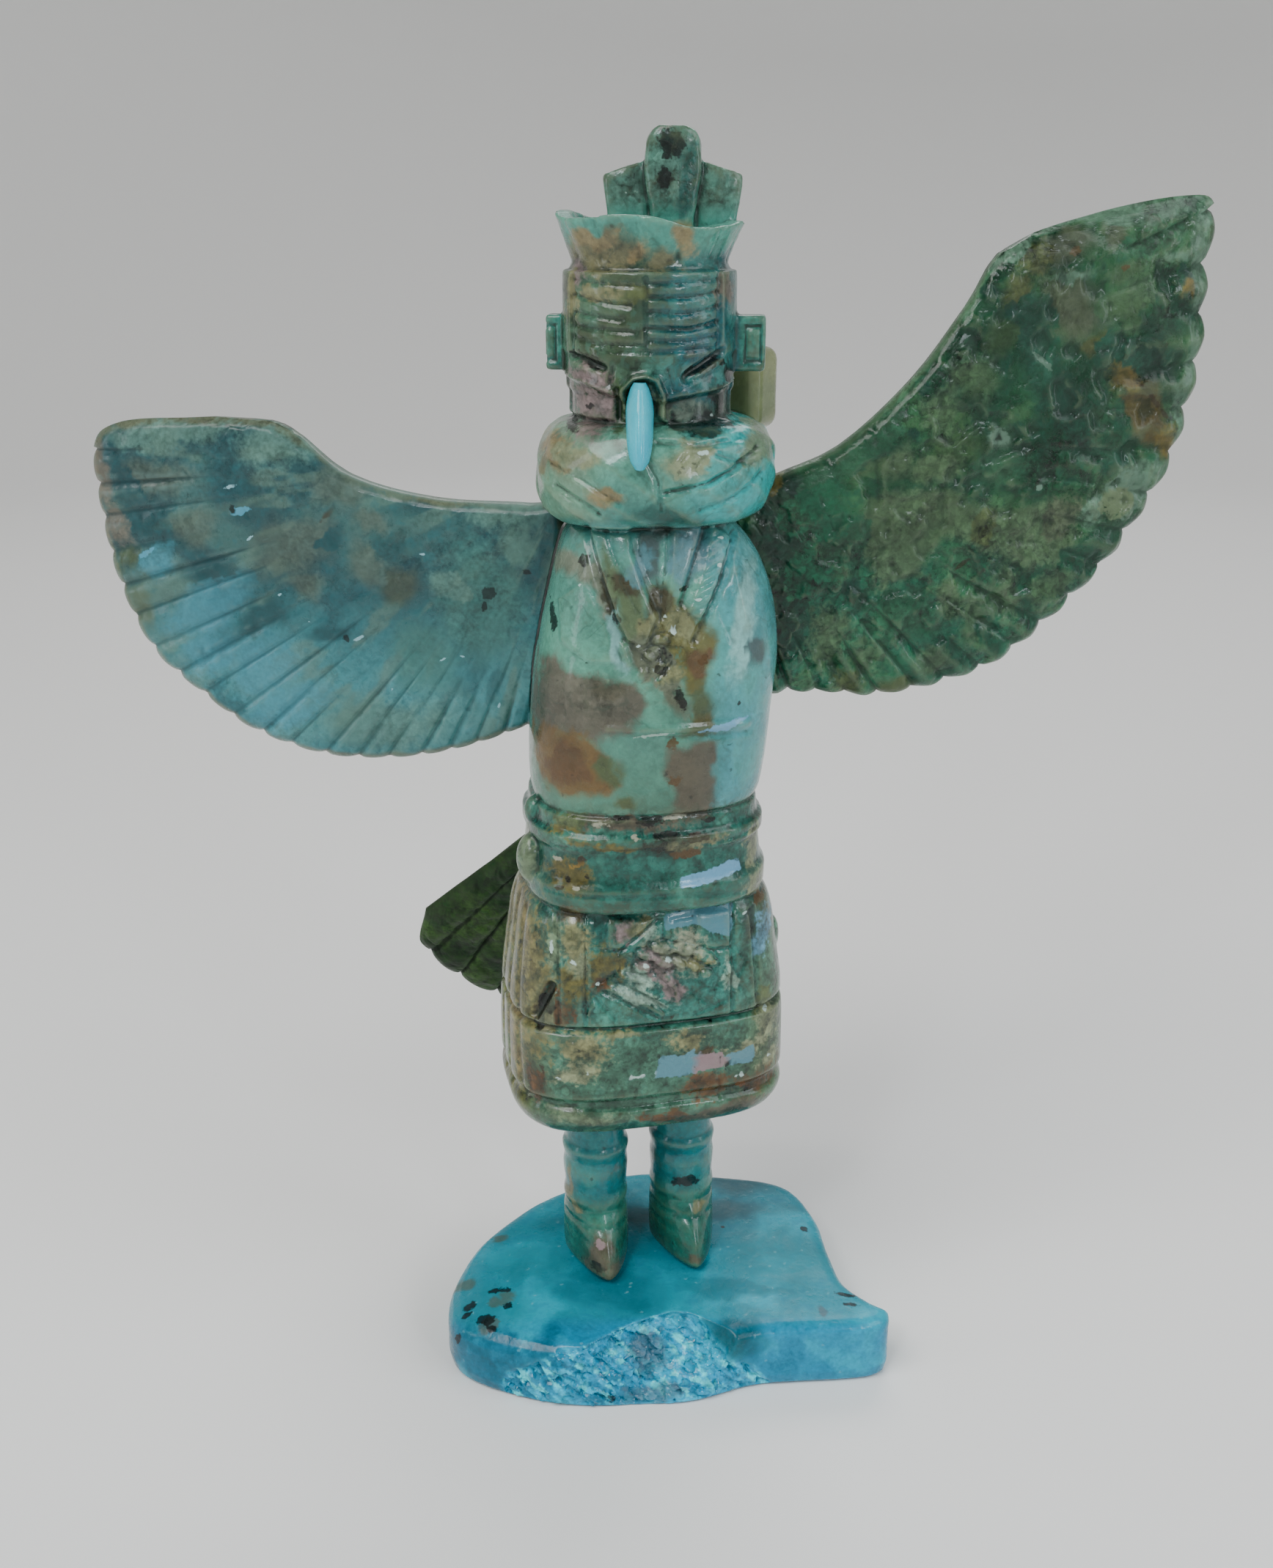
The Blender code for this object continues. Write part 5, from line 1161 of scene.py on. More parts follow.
SLAB_FLECKS = (
    ("black", (-16.8, -10.5, 0.8, 0.5, 45), (-17.1, -11.5, 0.6, 0.3, 30), (-14.1, -8, 1.2, 0.5, 15),
     (-15.1, -12.4, 0.8, 0.8, 45), (-13.1, -10.3, 0.5, 0.5), (-14.4, -13.7, 0.5, 0.5),
     (18.8, -8.7, 1.1, 0.3, -10), (19.2, -10.2, 0.7, 0.3), (15.9, 1.8, 0.4, 0.4), (-3.3, -21.8, 0.5, 0.4),
     (-17.8, -14.4, 0.3, 0.6), (7.4, 2, 0.2, 0.2)),
)
LOW_STAINS_AND_SHEEN = (
    ("spruce", (-14.6, 70.6, 3.4, 5.6), (-19.5, 66, 3, 3)),
    ("blush", (-22.2, 72.4, 2.2, 1.8)),
    ("brown", (-29.3, 77.8, 1.3, 0.4, 35)),
    ("clay", (-24.8, 74.3, 1.7, 2.2, 10), (-30.3, 72, 1.6, 1.2), (-40.6, 76.9, 2.2, 1.5, 20),
     (-43.4, 81.7, 3.1, 1.6), (-31.4, 75.4, 3.6, 2.2, 30), (-27.1, 80.9, 2.5, 1.8), (-24.3, 78, 1.7, 0.9)),
    ("mint", (-32.6, 84.4, 3.1, 1.5), (-12.4, 79, 3.2, 1.7), (-42.1, 85.3, 5.7, 1, 4),
     (-11.1, 76.4, 1.6, 1.7), (-24.4, 59.3, 5.7, 2.7), (-17.2, 72.4, 1.6, 1.2)),
    ("pink", (-48.8, 81.8, 1, 2.7), (-47.9, 77.4, 1.4, 1.8)),
    ("olive", (-47.4, 74.1, 1, 1.6)),
    ("khaki", (-46.6, 69.6, 1.2, 2.2, 30)),
    # Painted sheen: pale blue patches of reflected light on the wing's lower feathers.
    ("azure", (-39.7, 69.9, 4.8, 2, 36), (-35.6, 64.2, 3.4, 3, 40), (-44.6, 73.6, 1.8, 1.3, 20),
     (-33, 60.4, 3.8, 1.8, 30), (-39.9, 65.4, 2.6, 1.9, 36)),
    ("ink", (-44.4, 77.1, 2, 1.4), (-46.1, 80.3, 1.5, 2.2), (-39.9, 73.3, 2.6, 1, 20),
     (-28.9, 75.9, 1.7, 0.9, 40), (-22.2, 76.1, 1.9, 1), (-34.6, 68.9, 2.3, 1.2, 30),
     (-28.9, 68, 2.5, 0.8)),
)
LOW_FLECKS = (
    ("glint", (-36.5, 80.8, 0.6, 0.17, 25), (-35, 76.1, 0.5, 0.15, 35), (-26, 67.5, 0.55, 0.14, 25),
     (-18.2, 65.6, 0.34, 0.11, 30), (-30.7, 69, 0.34, 0.09, 10), (-32.9, 70.9, 0.33, 0.12, 20),
     (-23, 62.8, 0.24, 0.1, 40), (-19.8, 75.1, 0.28, 0.12), (-16.5, 65.9, 0.22, 0.12),
     (-13.4, 61.6, 0.1, 0.3)),
    # Painted sheen: short pale blue streaks.
    ("azure", (-35.7, 78.8, 1, 0.3, 15), (-45.3, 74.5, 0.8, 0.3, 30)),
    ("black", (-14.1, 71.9, 0.7, 0.5, 40), (-10.7, 73.9, 0.4, 0.3), (-14.5, 70.8, 0.3, 0.6),
     (-36.5, 78.9, 0.3, 0.4), (-27, 67.4, 0.3, 0.4)),
)
HIGH_STAINS = (
    ("hazel", ((43, 90), (45.2, 88.6), (48.6, 83.4), (47.6, 82.2), (44.6, 84.2), (41.4, 87.6))),
    ("abyss", (11.1, 77.6, 2.2, 5.2), (12.2, 80.9, 1.8, 1.9), (12, 70, 2.1, 3.5)),
    ("gold", (42.6, 89, 1.7, 0.9, -25), (47, 83.9, 1.5, 1.2, -45), (48, 96.9, 0.9, 1.1),
     (10, 80.8, 1.8, 1.1, 15)),
    ("fawn", ((18, 78.2), (22.5, 80.4), (26.5, 80.2), (31, 77.6), (35.6, 79), (40.2, 75.6), (37.6, 72.6),
      (33.4, 73.6), (29.4, 75), (26, 75.6), (23.8, 72.2), (20.4, 71.4), (19.4, 74.6)),
     (21.6, 82.9, 1.8, 1.4), (15.9, 67.3, 1.8, 2.2), (26.4, 64.4, 1.8, 1.6, 20)),
    ("olive", (30.2, 76.5, 1.4, 1.4)),
    ("blush", (35.1, 100.6, 2.8, 1.6, 10), (40.5, 102, 1.6, 1.3), (37.4, 77.2, 2, 2, -35)),
    ("amber", (31.7, 96.9, 1.4, 1.1), (18.2, 63, 1.4, 1.4), (22.7, 61.9, 2.1, 1), (33, 99.4, 1.9, 1.6)),
    ("bone", (41.4, 98.8, 1.8, 1), (42.8, 78.6, 2.2, 1.9), (28.2, 90, 2, 2.2), (18.5, 82.4, 1.5, 1.2),
     (20.1, 64.9, 1.6, 1.6), (30.3, 67.7, 1.6, 2.6, 20), (32.9, 70.6, 1.6, 2.3, 20),
     (37.4, 70.6, 2.2, 1.4, 30)),
    ("jade", (16.5, 82.3, 4, 1.6, 30), (19.4, 85.4, 2.8, 1.3, 35), (17, 76.6, 2.8, 2.6),
     (23.9, 68.6, 2.9, 2), (44.4, 101.4, 3.6, 1.4, 10)),
    ("leaf", (14.8, 78.4, 3.4, 2.6, 20), (13.6, 72.6, 2, 2.6)),
    ("pine", (35.2, 68.4, 0.8, 2, 25), (31.6, 66, 0.7, 2.2, 25), (28.4, 65.6, 0.6, 2, 20),
     (39.2, 73, 0.7, 1.8, 40)),
    ("pearl", (41, 77.6, 1.4, 1.1, 40), (46.2, 99.6, 2.4, 0.6, 16), (41.2, 103.8, 7.9, 0.9, 8),
     (48.8, 101.2, 0.9, 4.3), (48.4, 85.8, 0.6, 3.2, 10), (30.5, 100.3, 1.9, 0.9, 35)),
    ("moss", (27, 84.2, 2.8, 2.2)),
    ("jade", (31.4, 81.8, 2.6, 1.6)),
    ("fawn", (25.3, 82.4, 2.2, 1.2), (27.6, 70.4, 1.3, 1.8, 20)),
    ("bone", (25.5, 86.9, 1.4, 1.7)),
    ("teal", ((31.6, 93.6), (35, 93.8), (38, 88.6), (41.4, 84.4), (44, 81.6), (42, 80.8), (37.4, 83.6),
      (33.6, 88.2))),
    ("blush", (37.1, 95.4, 3.3, 2.4, -30)),
    ("bone", (42, 95.7, 2.4, 1.9)),
    ("amber", (39.5, 92.3, 1.3, 0.9)),
    ("pine", (46.2, 94.7, 2.8, 1.9), (41, 85.6, 2.4, 2, -35)),
    ("teal", (33.2, 94.4, 2.3, 2.3), (45.6, 91, 2.8, 1.8)),
    ("pearl", (45.4, 81, 2.8, 0.9, 8), (36.6, 97.9, 1.8, 0.4, 10), (48.8, 96.9, 0.5, 2.1),
     (48.9, 90.6, 0.7, 3.2), (30.9, 84.8, 1.3, 1.1)),
    ("sea", (42.2, 91.4, 3, 1.2, -20), (34.1, 91.1, 2.2, 0.4, -35)),
    ("moss", (30.7, 93.4, 1.6, 1.7)),
)
HIGH_FLECKS = (
    # The last of these mist_green flecks, a thin slanting streak, is a painted highlight.
    ("mist_green", (30.9, 84.8, 0.9, 0.75), (43.7, 79, 2.3, 1.9, 10), (34.4, 91, 1.3, 0.2, -35)),
    ("black", (30.9, 84.8, 0.4, 0.33)),
    ("chip", (42.9, 78.3, 1.6, 1.35)),
    ("brown", (36.6, 100.2, 0.5, 0.3), (41.2, 98.9, 0.4, 0.3)),
    ("bark", (45.4, 87.3, 2.6, 0.22, -42), (28.4, 73.2, 0.9, 0.22, 35)),
    ("pearl", (34.9, 80.1, 0.28, 0.2)),
    ("abyss", (29.1, 97.1, 0.6, 0.7), (31.1, 95.7, 0.6, 0.5), (23.8, 88.9, 0.6, 0.5),
     (22.8, 85.4, 0.5, 0.5), (17.9, 71.7, 0.9, 0.8), (47.1, 98.6, 1, 0.4, -30)),
    ("cream", (10.9, 81.7, 0.9, 0.3, 20)),
)

# Some tones are painted light: highlights, reflections, glints and sheen on the dancer and the lowered wing,
# and a shadow on the slab.
TONES = {
    "mauve": (104, 92, 84), "orange": (114, 82, 44), "rust": (98, 62, 32), "olive": (84, 90, 56),
    "umber": (94, 80, 68), "brown": (76, 58, 34), "sand": (136, 130, 94), "ochre": (104, 92, 46),
    "dove": (110, 108, 92), "speckle": (136, 138, 124), "slate": (76, 88, 94), "dusk": (54, 66, 66),
    "blue": (88, 130, 146), "tan": (124, 118, 88), "cream": (142, 144, 114), "sky": (100, 152, 184),
    "knot": (118, 134, 108), "straw": (122, 112, 72), "deep": (36, 90, 86), "rose": (136, 114, 118),
    "pale": (146, 172, 160), "apricot": (150, 128, 92), "black": (8, 12, 12), "moss": (56, 80, 50),
    "bright": (84, 168, 168), "white": (176, 200, 194), "gold": (122, 98, 42), "shade": (58, 106, 122),
    "lagoon": (10, 116, 138), "mist": (20, 144, 168), "deepsea": (16, 88, 100), "plum": (92, 104, 120),
    "khaki": (92, 100, 76), "blush": (82, 84, 68), "clay": (92, 104, 96), "mint": (104, 142, 134),
    "pink": (132, 118, 106), "azure": (76, 146, 170), "ink": (36, 80, 88), "bone": (72, 94, 68),
    "amber": (84, 84, 50), "pearl": (98, 126, 110), "chip": (96, 110, 82), "mist_green": (82, 108, 92),
    "spruce": (78, 126, 122), "leaf": (30, 92, 68), "pine": (24, 66, 50), "sea": (40, 84, 70),
    "abyss": (12, 48, 40), "jade": (46, 88, 66), "glint": (140, 186, 196), "haze": (80, 126, 140),
    "glow": (146, 200, 204), "bark": (42, 34, 22), "crumb": (146, 146, 128), "peach": (130, 114, 78),
    "teal": (28, 68, 56), "lichen": (104, 116, 84), "fawn": (82, 100, 74), "hazel": (92, 72, 36),
}
# How much of a stain's tone is the stone's own colour, and not the light on it.
STAIN_LEVEL = np.array((0.62, 0.66, 0.60))
# Over how many millimetres the spots given by corners fade.
STAIN_BLUR = 2.6
FLECK_BLUR = 0.7
# A cut this deep is darkened fully.
HOLLOW_DEPTH = 0.00012

def linear(tone):
    """A tone's screen values, 0 to 255, as linear colour."""
    return np.array(tone) ** 2.2 / 255**2.2

# The dancer's own colour by height in millimetres.
DANCER_TONES = (
    (6, (30, 94, 82)), (13, (30, 98, 86)), (15, (12, 108, 114)), (23, (12, 110, 116)), (25, (72, 98, 80)),
    (34, (74, 102, 84)), (36, (54, 104, 94)), (44, (54, 104, 96)), (46.3, (40, 90, 80)),
    (54.6, (42, 88, 78)), (55.4, (80, 106, 90)), (62, (88, 122, 108)), (66, (106, 146, 126)),
    (76, (106, 148, 134)), (79, (80, 124, 120)), (80, (74, 128, 120)), (84, (104, 144, 128)),
    (87.3, (104, 140, 122)), (88.2, (58, 86, 76)), (93, (48, 80, 76)), (99, (50, 82, 76)),
    (100.2, (76, 130, 116)), (103, (90, 146, 132)), (104.5, (90, 110, 98)), (110, (86, 108, 98)),
)

# How rough and broken up the stone looks, from 0 to 1, by height in millimetres.
DANCER_ROUGH = (
    (6, 0.45), (14, 0.25), (23, 0.25), (25, 0.8), (34, 0.85), (36, 0.9), (46, 0.9), (48, 0.55), (51, 0.6),
    (52, 0.9), (55, 0.9), (56, 0.15), (76, 0.18), (79.5, 0.2), (86, 0.3), (88, 0.8), (92, 0.7), (99, 0.55),
    (100.5, 0.35), (103.5, 0.08), (104.5, 0.9), (110, 1.0),
)

def spot_field(a, b, spots, wobble, level, blur):
    """Each point's topmost spot: its reach, over 0.5 inside its border, and its colour. Spots given by
    corners fade over the blur."""
    a, b = a + wobble[0], b + wobble[1]
    reach, colour = np.zeros(len(a)), np.zeros((len(a), 3))
    for tone, *shapes in spots:
        for shape in shapes:
            if isinstance(shape[0], tuple):
                value = 0.5 + area_depth(a, b, shape) / blur
            else:
                value = 1 - 0.5 * oval(a, b, *shape)
            over = (value > 0.5) | (value > reach)
            colour[over] = linear(TONES[tone]) * level
            reach = np.maximum(reach, value)
    return reach, colour

def store(mesh, name, values):
    """Keeps one colour or one number for each vertex."""
    if values.ndim == 1:
        mesh.attributes.new(name, "FLOAT", "POINT").data.foreach_set("value", values.astype(np.float32))
    else:
        full = np.column_stack([values, np.ones(len(values))]).astype(np.float32)
        mesh.attributes.new(name, "FLOAT_COLOR", "POINT").data.foreach_set("color", full.ravel())

def wobbles(points, seed):
    """Sideways shifts in millimetres that make the spots' borders irregular."""
    return [2.6 * waver(points, 0.0034, 3, seed + k) + waver(points, 0.0008, 2, seed + 5 + k) for k in (0, 9)]

def paint(mesh, tint, colour_patches, flecks, a, b, seed, rough, stain_share=1.0, fleck_share=1.0):
    """Stores what the material reads: tint, spots, how rough the stone is and how deep the cuts are."""
    points = points_of(mesh)
    store(mesh, "rough", rough * np.ones(len(points)))
    wobble = wobbles(points, seed)
    reach, colour = spot_field(a, b, colour_patches, wobble, STAIN_LEVEL, STAIN_BLUR)
    store(mesh, "tint", tint)
    store(mesh, "stain_and_light", colour)
    store(mesh, "stain_and_light_reach", reach * stain_share)
    reach, colour = spot_field(a, b, flecks, [0.35 * w for w in wobble], 1.0, FLECK_BLUR)
    store(mesh, "fleck", colour)
    store(mesh, "fleck_reach", reach * fleck_share)
    store(mesh, "hollow", np.clip(hollows(mesh) / HOLLOW_DEPTH, -1, 1))

def washed(tint, *washes):
    """The tint with each tone laid over it by its share."""
    for tone, share in washes:
        tint = tint + (linear(tone) - tint) * share[:, None]
    return tint

def paint_figure(mesh):
    """The dancer's colours: its own by height, washes over its parts, and its spots."""
    points = points_of(mesh)
    x, y, z = (points / MM).T
    level = z + 1.2 * waver(points, 0.003, 2, 21)
    heights, tones = zip(*DANCER_TONES)
    tint = np.stack([np.interp(level, heights, linear(tones)[:, k]) for k in range(3)], axis=1)
    side = x + 2.4 * waver(points, 0.004, 2, 31)
    head = between(z, 88.5, 101.5, 1, 1.5)
    ears = smooth_step((np.abs(x) - 7.1) / 0.2) * (z > 90) * (z < 97.6)
    ruff = between(z, 79.5, 88, 0.8, 0.6)
    chest = between(z, 55.2, 79.5, 0.5, 2)
    kilt = between(z, 25, 46, 2, 1) * smooth_step((np.abs(side + 0.8) - 8.0) / 4.0)
    tint = washed(
        tint,
        # The head and crown are tan on the left and blue-green on the right.
        ((60, 60, 38), head * smooth_step((2.2 - side) / 5.0) * 0.9),
        ((6, 78, 88), head * smooth_step((side + 1.2) / 4.0) * 0.85),
        ((48, 108, 98), ears),
        # The ruff goes from pink-cream on the left to turquoise on the right.
        ((140, 136, 108), ruff * smooth_step((-2.5 - side) / 4.0) * 0.6),
        ((44, 168, 170), ruff * smooth_step((side - 1.5) / 4.5) * 0.85),
        # The chest is painted bluer on its right, for the cool light that falls on that side, and the kilt
        # paler round its sides.
        ((84, 150, 162), chest * smooth_step((side - 3.0) / 4.0) * 0.75),
        ((118, 96, 40), kilt * np.where(side < 0, 0.85, 0.35)),
    )
    # Behind, the same stains, with the painted highlights and reflections among them, lie mirrored, wider and
    # displaced.
    behind = smooth_step((y + 1.0) / 3.0)
    drift = 5.0 * waver(points, 0.012, 2, 41)
    across = np.where(behind > 0.5, -0.9 * x + drift, x)
    up = np.where(behind > 0.5, z + 2.0 + drift, z)
    blank = behind * smooth_step((z - 86) / 1.0)
    rough = np.interp(level, *np.transpose(DANCER_ROUGH))
    knot = smooth_step(1.3 - np.hypot((x - 1.4) / 2.6, (z - 69.4) / 3.8)) * (1 - behind)
    mauve = smooth_step(1.2 - np.hypot((x + 5) / 4.2, (z - 65.4) / 3.2)) * (1 - behind)
    rough = np.maximum(rough, np.maximum(0.9 * knot, 0.55 * mauve))
    paint(mesh, tint, DANCER_STAINS_AND_HIGHLIGHTS, DANCER_FLECKS, across, up, 51, rough, 1 - blank, 1 - behind)

def paint_wing(mesh, tones, levels, colour_patches, flecks, outline, rim_tone, rim, seed, focus, grain):
    """A wing's colours: two tones by height, grain that runs out along the feathers, its spots and rim."""
    size, along, pale, dark, share, rough = grain
    points = points_of(mesh)
    x, _, z = (points / MM).T
    rise = smooth_step((z + 5 * waver(points, 0.008, 2, seed) - levels[0]) / (levels[1] - levels[0]))
    angle = np.arctan2(z - focus[1], np.abs(x - focus[0]))
    radius = np.hypot(z - focus[1], x - focus[0]) * MM
    fan = np.stack([angle * 0.028, radius * along, 0.3 * points[:, 1]], axis=1)
    crumbly = smooth_step((fractal(points, 0.007, 3, seed + 31) - 0.40) / 0.22)
    streak = fractal(fan, size, 4, seed + 21)
    soft = fractal(fan, 2.6 * size, 2, seed + 25)
    ragged = path_distance(x, z, outline) + 0.7 * waver(points, 0.0016, 2, seed + 3)
    tint = washed(
        linear(tones[0]),
        (tones[1], rise),
        (pale, share * smooth_step((streak - 0.51) / 0.12) * smooth_step((soft - 0.36) / 0.2)),
        (dark, share * smooth_step((0.48 - streak) / 0.12) * smooth_step((0.66 - soft) / 0.2)),
        (rim_tone, smooth_step((rim - ragged) / 0.5) * 0.8),
    )
    paint(mesh, tint, colour_patches, flecks, x, z, seed + 7, rough * (0.25 + 0.75 * crumbly))

def paint_base(mesh):
    """The slab's colours: top, front and broken field, and its spots."""
    points, normals = points_of(mesh), normals_of(mesh)
    x, y, z = (points / MM).T
    b = y + z - 6.5
    side = 3 * waver(points, 0.006, 2, 61)
    front = smooth_step((-11.5 - b) / 2.5)
    broken = break_share(points, normals)
    flake = break_share(points, normals, BREAK_FLAKE) * (1 - broken)
    _, number, _ = cells(leant(points), GLINT_SIZE, 8)
    tint = washed(
        linear((50, 132, 146)),
        ((38, 128, 158), front),
        ((18, 102, 124), front * smooth_step((-6 - x - side) / 3.0)),
        ((78, 150, 190), front * hump(np.abs(x - 0.5 + side), 8.0) * 0.8),
        ((10, 84, 96), 0.85 * flake),
        # The break's shards, some of them dark, and some pale or white, which are painted glints.
        ((84, 168, 206), broken * 0.5),
        ((132, 196, 222), broken * smooth_step((number - 0.64) / 0.1) * 0.7),
        ((216, 230, 234), broken * smooth_step((number - 0.87) / 0.03) * 0.9),
        ((28, 108, 134), broken * smooth_step((0.30 - number) / 0.1) * 0.7),
    )
    paint(mesh, tint, SLAB_STAINS_AND_SHADOW, SLAB_FLECKS, x, b, 67, 0.5 * broken + 0.3 * front * (1 - broken))

def paint_plain(mesh, tone, other, size, seed, rough):
    """Two tones in soft clouds of this size."""
    points = points_of(mesh)
    share = smooth_step((fractal(points, size, 2, seed) - 0.35) / 0.3)
    tint = washed(linear(tone), (other, share))
    paint(mesh, tint, (), (), points[:, 0] / MM, points[:, 2] / MM, seed, rough)

class Stone:
    """A node material, built by short calls. Sizes are in metres, on the object's own coordinates."""

    def __init__(self, name):
        self.material = bpy.data.materials.new(name)
        self.material.use_nodes = True
        self.tree = self.material.node_tree
        self.shader = self.tree.nodes["Principled BSDF"]
        self.place = self.node("ShaderNodeTexCoord").outputs["Object"]

    def put(self, socket, value):
        if isinstance(value, bpy.types.NodeSocket):
            self.tree.links.new(value, socket)
        else:
            socket.default_value = value

    def node(self, kind, inputs=None, **settings):
        made = self.tree.nodes.new(kind)
        for key, value in settings.items():
            setattr(made, key, value)
        for key, value in (inputs or {}).items():
            self.put(made.inputs[key], value)
        return made

    def math(self, operation, a, b=0.0):
        return self.node("ShaderNodeMath", {0: a, 1: b}, operation=operation).outputs[0]

    def plus(self, a, b):
        return self.math("ADD", a, b)

    def minus(self, a, b):
        return self.math("SUBTRACT", a, b)

    def times(self, a, b):
        return self.math("MULTIPLY", a, b)

    def noise(self, size, detail=3.0, distortion=0.0):
        inputs = {"Vector": self.place, "Scale": 1 / size, "Detail": detail, "Distortion": distortion}
        return self.node("ShaderNodeTexNoise", inputs).outputs["Fac"]

    def ramp(self, value, low, high, to_low=0.0, to_high=1.0):
        """Runs smoothly from to_low at low to to_high at high."""
        inputs = {"Value": value, "From Min": low, "From Max": high, "To Min": to_low, "To Max": to_high}
        return self.node("ShaderNodeMapRange", inputs, interpolation_type="SMOOTHSTEP").outputs[0]

    def mix(self, share, a, b, blend="MIX"):
        made = self.node("ShaderNodeMix", data_type="RGBA", blend_type=blend)
        for index, value in ((0, share), (6, a), (7, b)):
            self.put(made.inputs[index], value)
        return made.outputs[2]

    def attribute(self, name, output="Fac"):
        return self.node("ShaderNodeAttribute", attribute_name=name).outputs[output]

def rgba(tone):
    return (*linear(tone), 1.0)

# What all the stones share: their finest grain, how far larger grains are bent, their bump and polish.
STONE_GRAIN = 0.00035
GRAIN_SHIFT = 0.0016
BUMP_DEPTH = 0.00012
STONE_IOR = 1.5
COAT_ROUGHNESS = 0.07

def stone_material(name, look):
    """Polished stone: mottled tint, grains, stains and flecks (some of them painted light) with broken edges,
    veins, darker cuts.
    """
    stone = Stone(name)
    plus, minus, times, ramp, mix = stone.plus, stone.minus, stone.times, stone.ramp, stone.mix
    rough = stone.attribute("rough")
    cloud = stone.noise(look["cloud"], 4.0, 0.4)
    blotch = stone.noise(look["blotch"], 5.0, 0.3)
    grain = stone.noise(STONE_GRAIN, 3.0)
    speckle = plus(times(blotch, 0.9), times(grain, 0.8))
    edge = times(minus(speckle, 0.85), 0.9)
    # Grains of their own brightness, with darker seams between them where the stone is rough.
    shifted = {0: stone.place, 1: times(blotch, GRAIN_SHIFT)}
    place = stone.node("ShaderNodeVectorMath", shifted, operation="ADD").outputs[0]
    inputs = {"Vector": place, "Scale": 1 / look["grain_size"]}
    grains = stone.node("ShaderNodeTexVoronoi", inputs, feature="F1")
    parts = stone.node("ShaderNodeSeparateColor", {0: grains.outputs["Color"]})
    uneven = times(minus(parts.outputs[1], 0.5), times(rough, look["grain_share"]))
    seam = times(ramp(grains.outputs["Distance"], 0.42, 0.78), times(rough, look["seam_share"]))
    strength = look["mottle"]
    tone = plus(ramp(cloud, 0.3, 0.7, 1 - strength, 1 + strength), times(edge, 2.2 * strength))
    tone = plus(tone, times(times(edge, 2.6), rough))
    tone = plus(tone, uneven)
    second = ramp(cloud, 0.50, 0.64, 0, look["second_share"])
    colour = mix(second, stone.attribute("tint", "Color"), rgba(look["second"]))
    colour = mix(ramp(blotch, 0.54, 0.66, 0, look["third_share"]), colour, rgba(look["third"]))
    colour = mix(1.0, colour, (*look["balance"], 1), "MULTIPLY")
    # Stains, with the painted highlights, reflections, sheen and shadow among them, fade out over a border
    # that is more broken where the stone is rough, and are mottled themselves.
    ragged = times(edge, ramp(rough, 0.0, 0.9, 0.15, look["stain_break"]))
    reach = plus(stone.attribute("stain_and_light_reach"), ragged)
    share = ramp(reach, look["edge_low"], look["edge_high"], 0, look["stain_share"])
    colour = mix(share, colour, stone.attribute("stain_and_light", "Color"))
    colour = mix(1.0, colour, tone, "MULTIPLY")
    colour = mix(seam, colour, rgba(look["seam_and_cut_tone"]))
    if look["vein_share"]:
        wander = stone.math("ABSOLUTE", minus(stone.noise(look["vein_size"], 3.0, 0.6), 0.5))
        vein = times(ramp(wander, 0.004, 0.022, look["vein_share"], 0), ramp(cloud, 0.42, 0.56, 1, 0.1))
        colour = mix(vein, colour, rgba(look["vein"]))
    # Small specks at the middle of some grains.
    speck = ramp(grains.outputs["Distance"], 0.10, 0.24, 1, 0)
    speck = times(speck, ramp(parts.outputs[0], 0.82, 0.86, 0, look["speck_share"]))
    colour = mix(speck, colour, rgba(look["speck"]))
    # Flecks, some of them painted glints, highlights and reflections.
    fleck = plus(stone.attribute("fleck_reach"), times(edge, 0.9))
    fleck = ramp(fleck, 0.42, 0.58, 0, look["fleck_share"])
    colour = mix(fleck, colour, stone.attribute("fleck", "Color"))
    # Darker cuts and worn, paler edges.
    hollow = plus(stone.attribute("hollow"), times(edge, 0.8))
    colour = mix(ramp(hollow, 0.12, 0.9, 0, look["cut_tone_share"]), colour, rgba(look["seam_and_cut_tone"]))
    colour = mix(ramp(hollow, -0.15, -0.95, 0, look["worn_share"]), colour, rgba(look["worn"]))
    stone.put(stone.shader.inputs["Base Color"], colour)
    gloss = ramp(blotch, 0.35, 0.65, look["rough"] - 0.07, look["rough"] + 0.08)
    gloss = plus(gloss, times(share, look["stain_rough"]))
    gloss = plus(gloss, ramp(hollow, 0.2, 0.9, 0, 0.25))
    gloss = minus(gloss, times(rough, look["sparkle"]))
    stone.put(stone.shader.inputs["Roughness"], gloss)
    height = plus(times(grain, 0.5), times(blotch, 0.9))
    height = minus(height, times(seam, 0.8))
    bump = stone.node("ShaderNodeBump", {"Strength": look["bump"], "Distance": BUMP_DEPTH, "Height": height})
    stone.put(stone.shader.inputs["Normal"], bump.outputs[0])
    stone.shader.inputs["IOR"].default_value = STONE_IOR
    stone.shader.inputs["Specular IOR Level"].default_value = look["shine"]
    stone.shader.inputs["Coat Weight"].default_value = look["coat"]
    stone.shader.inputs["Coat Roughness"].default_value = COAT_ROUGHNESS
    return stone.material

# What a stone looks like if its own look says nothing else.
PLAIN_LOOK = {
    "cloud": 0.006, "blotch": 0.001, "mottle": 0.2, "balance": (0.6, 0.9, 0.88), "second": (96, 132, 112),
    "second_share": 0.3, "third": (58, 92, 82), "third_share": 0.35, "grain_size": 0.0011,
    "grain_share": 0.75, "seam_share": 0.5, "stain_share": 0.92, "stain_break": 1.1, "edge_low": 0.32,
    "edge_high": 0.7, "stain_rough": 0.08, "fleck_share": 0.9, "vein": (40, 60, 50), "vein_size": 0.004,
    "vein_share": 0.3, "speck": (16, 26, 22), "speck_share": 0.6, "seam_and_cut_tone": (20, 36, 28), "cut_tone_share": 0.8,
    "worn": (128, 144, 112), "worn_share": 0.22, "rough": 0.22, "coat": 0.25, "bump": 0.4, "shine": 0.3,
    "sparkle": 0.0,
}
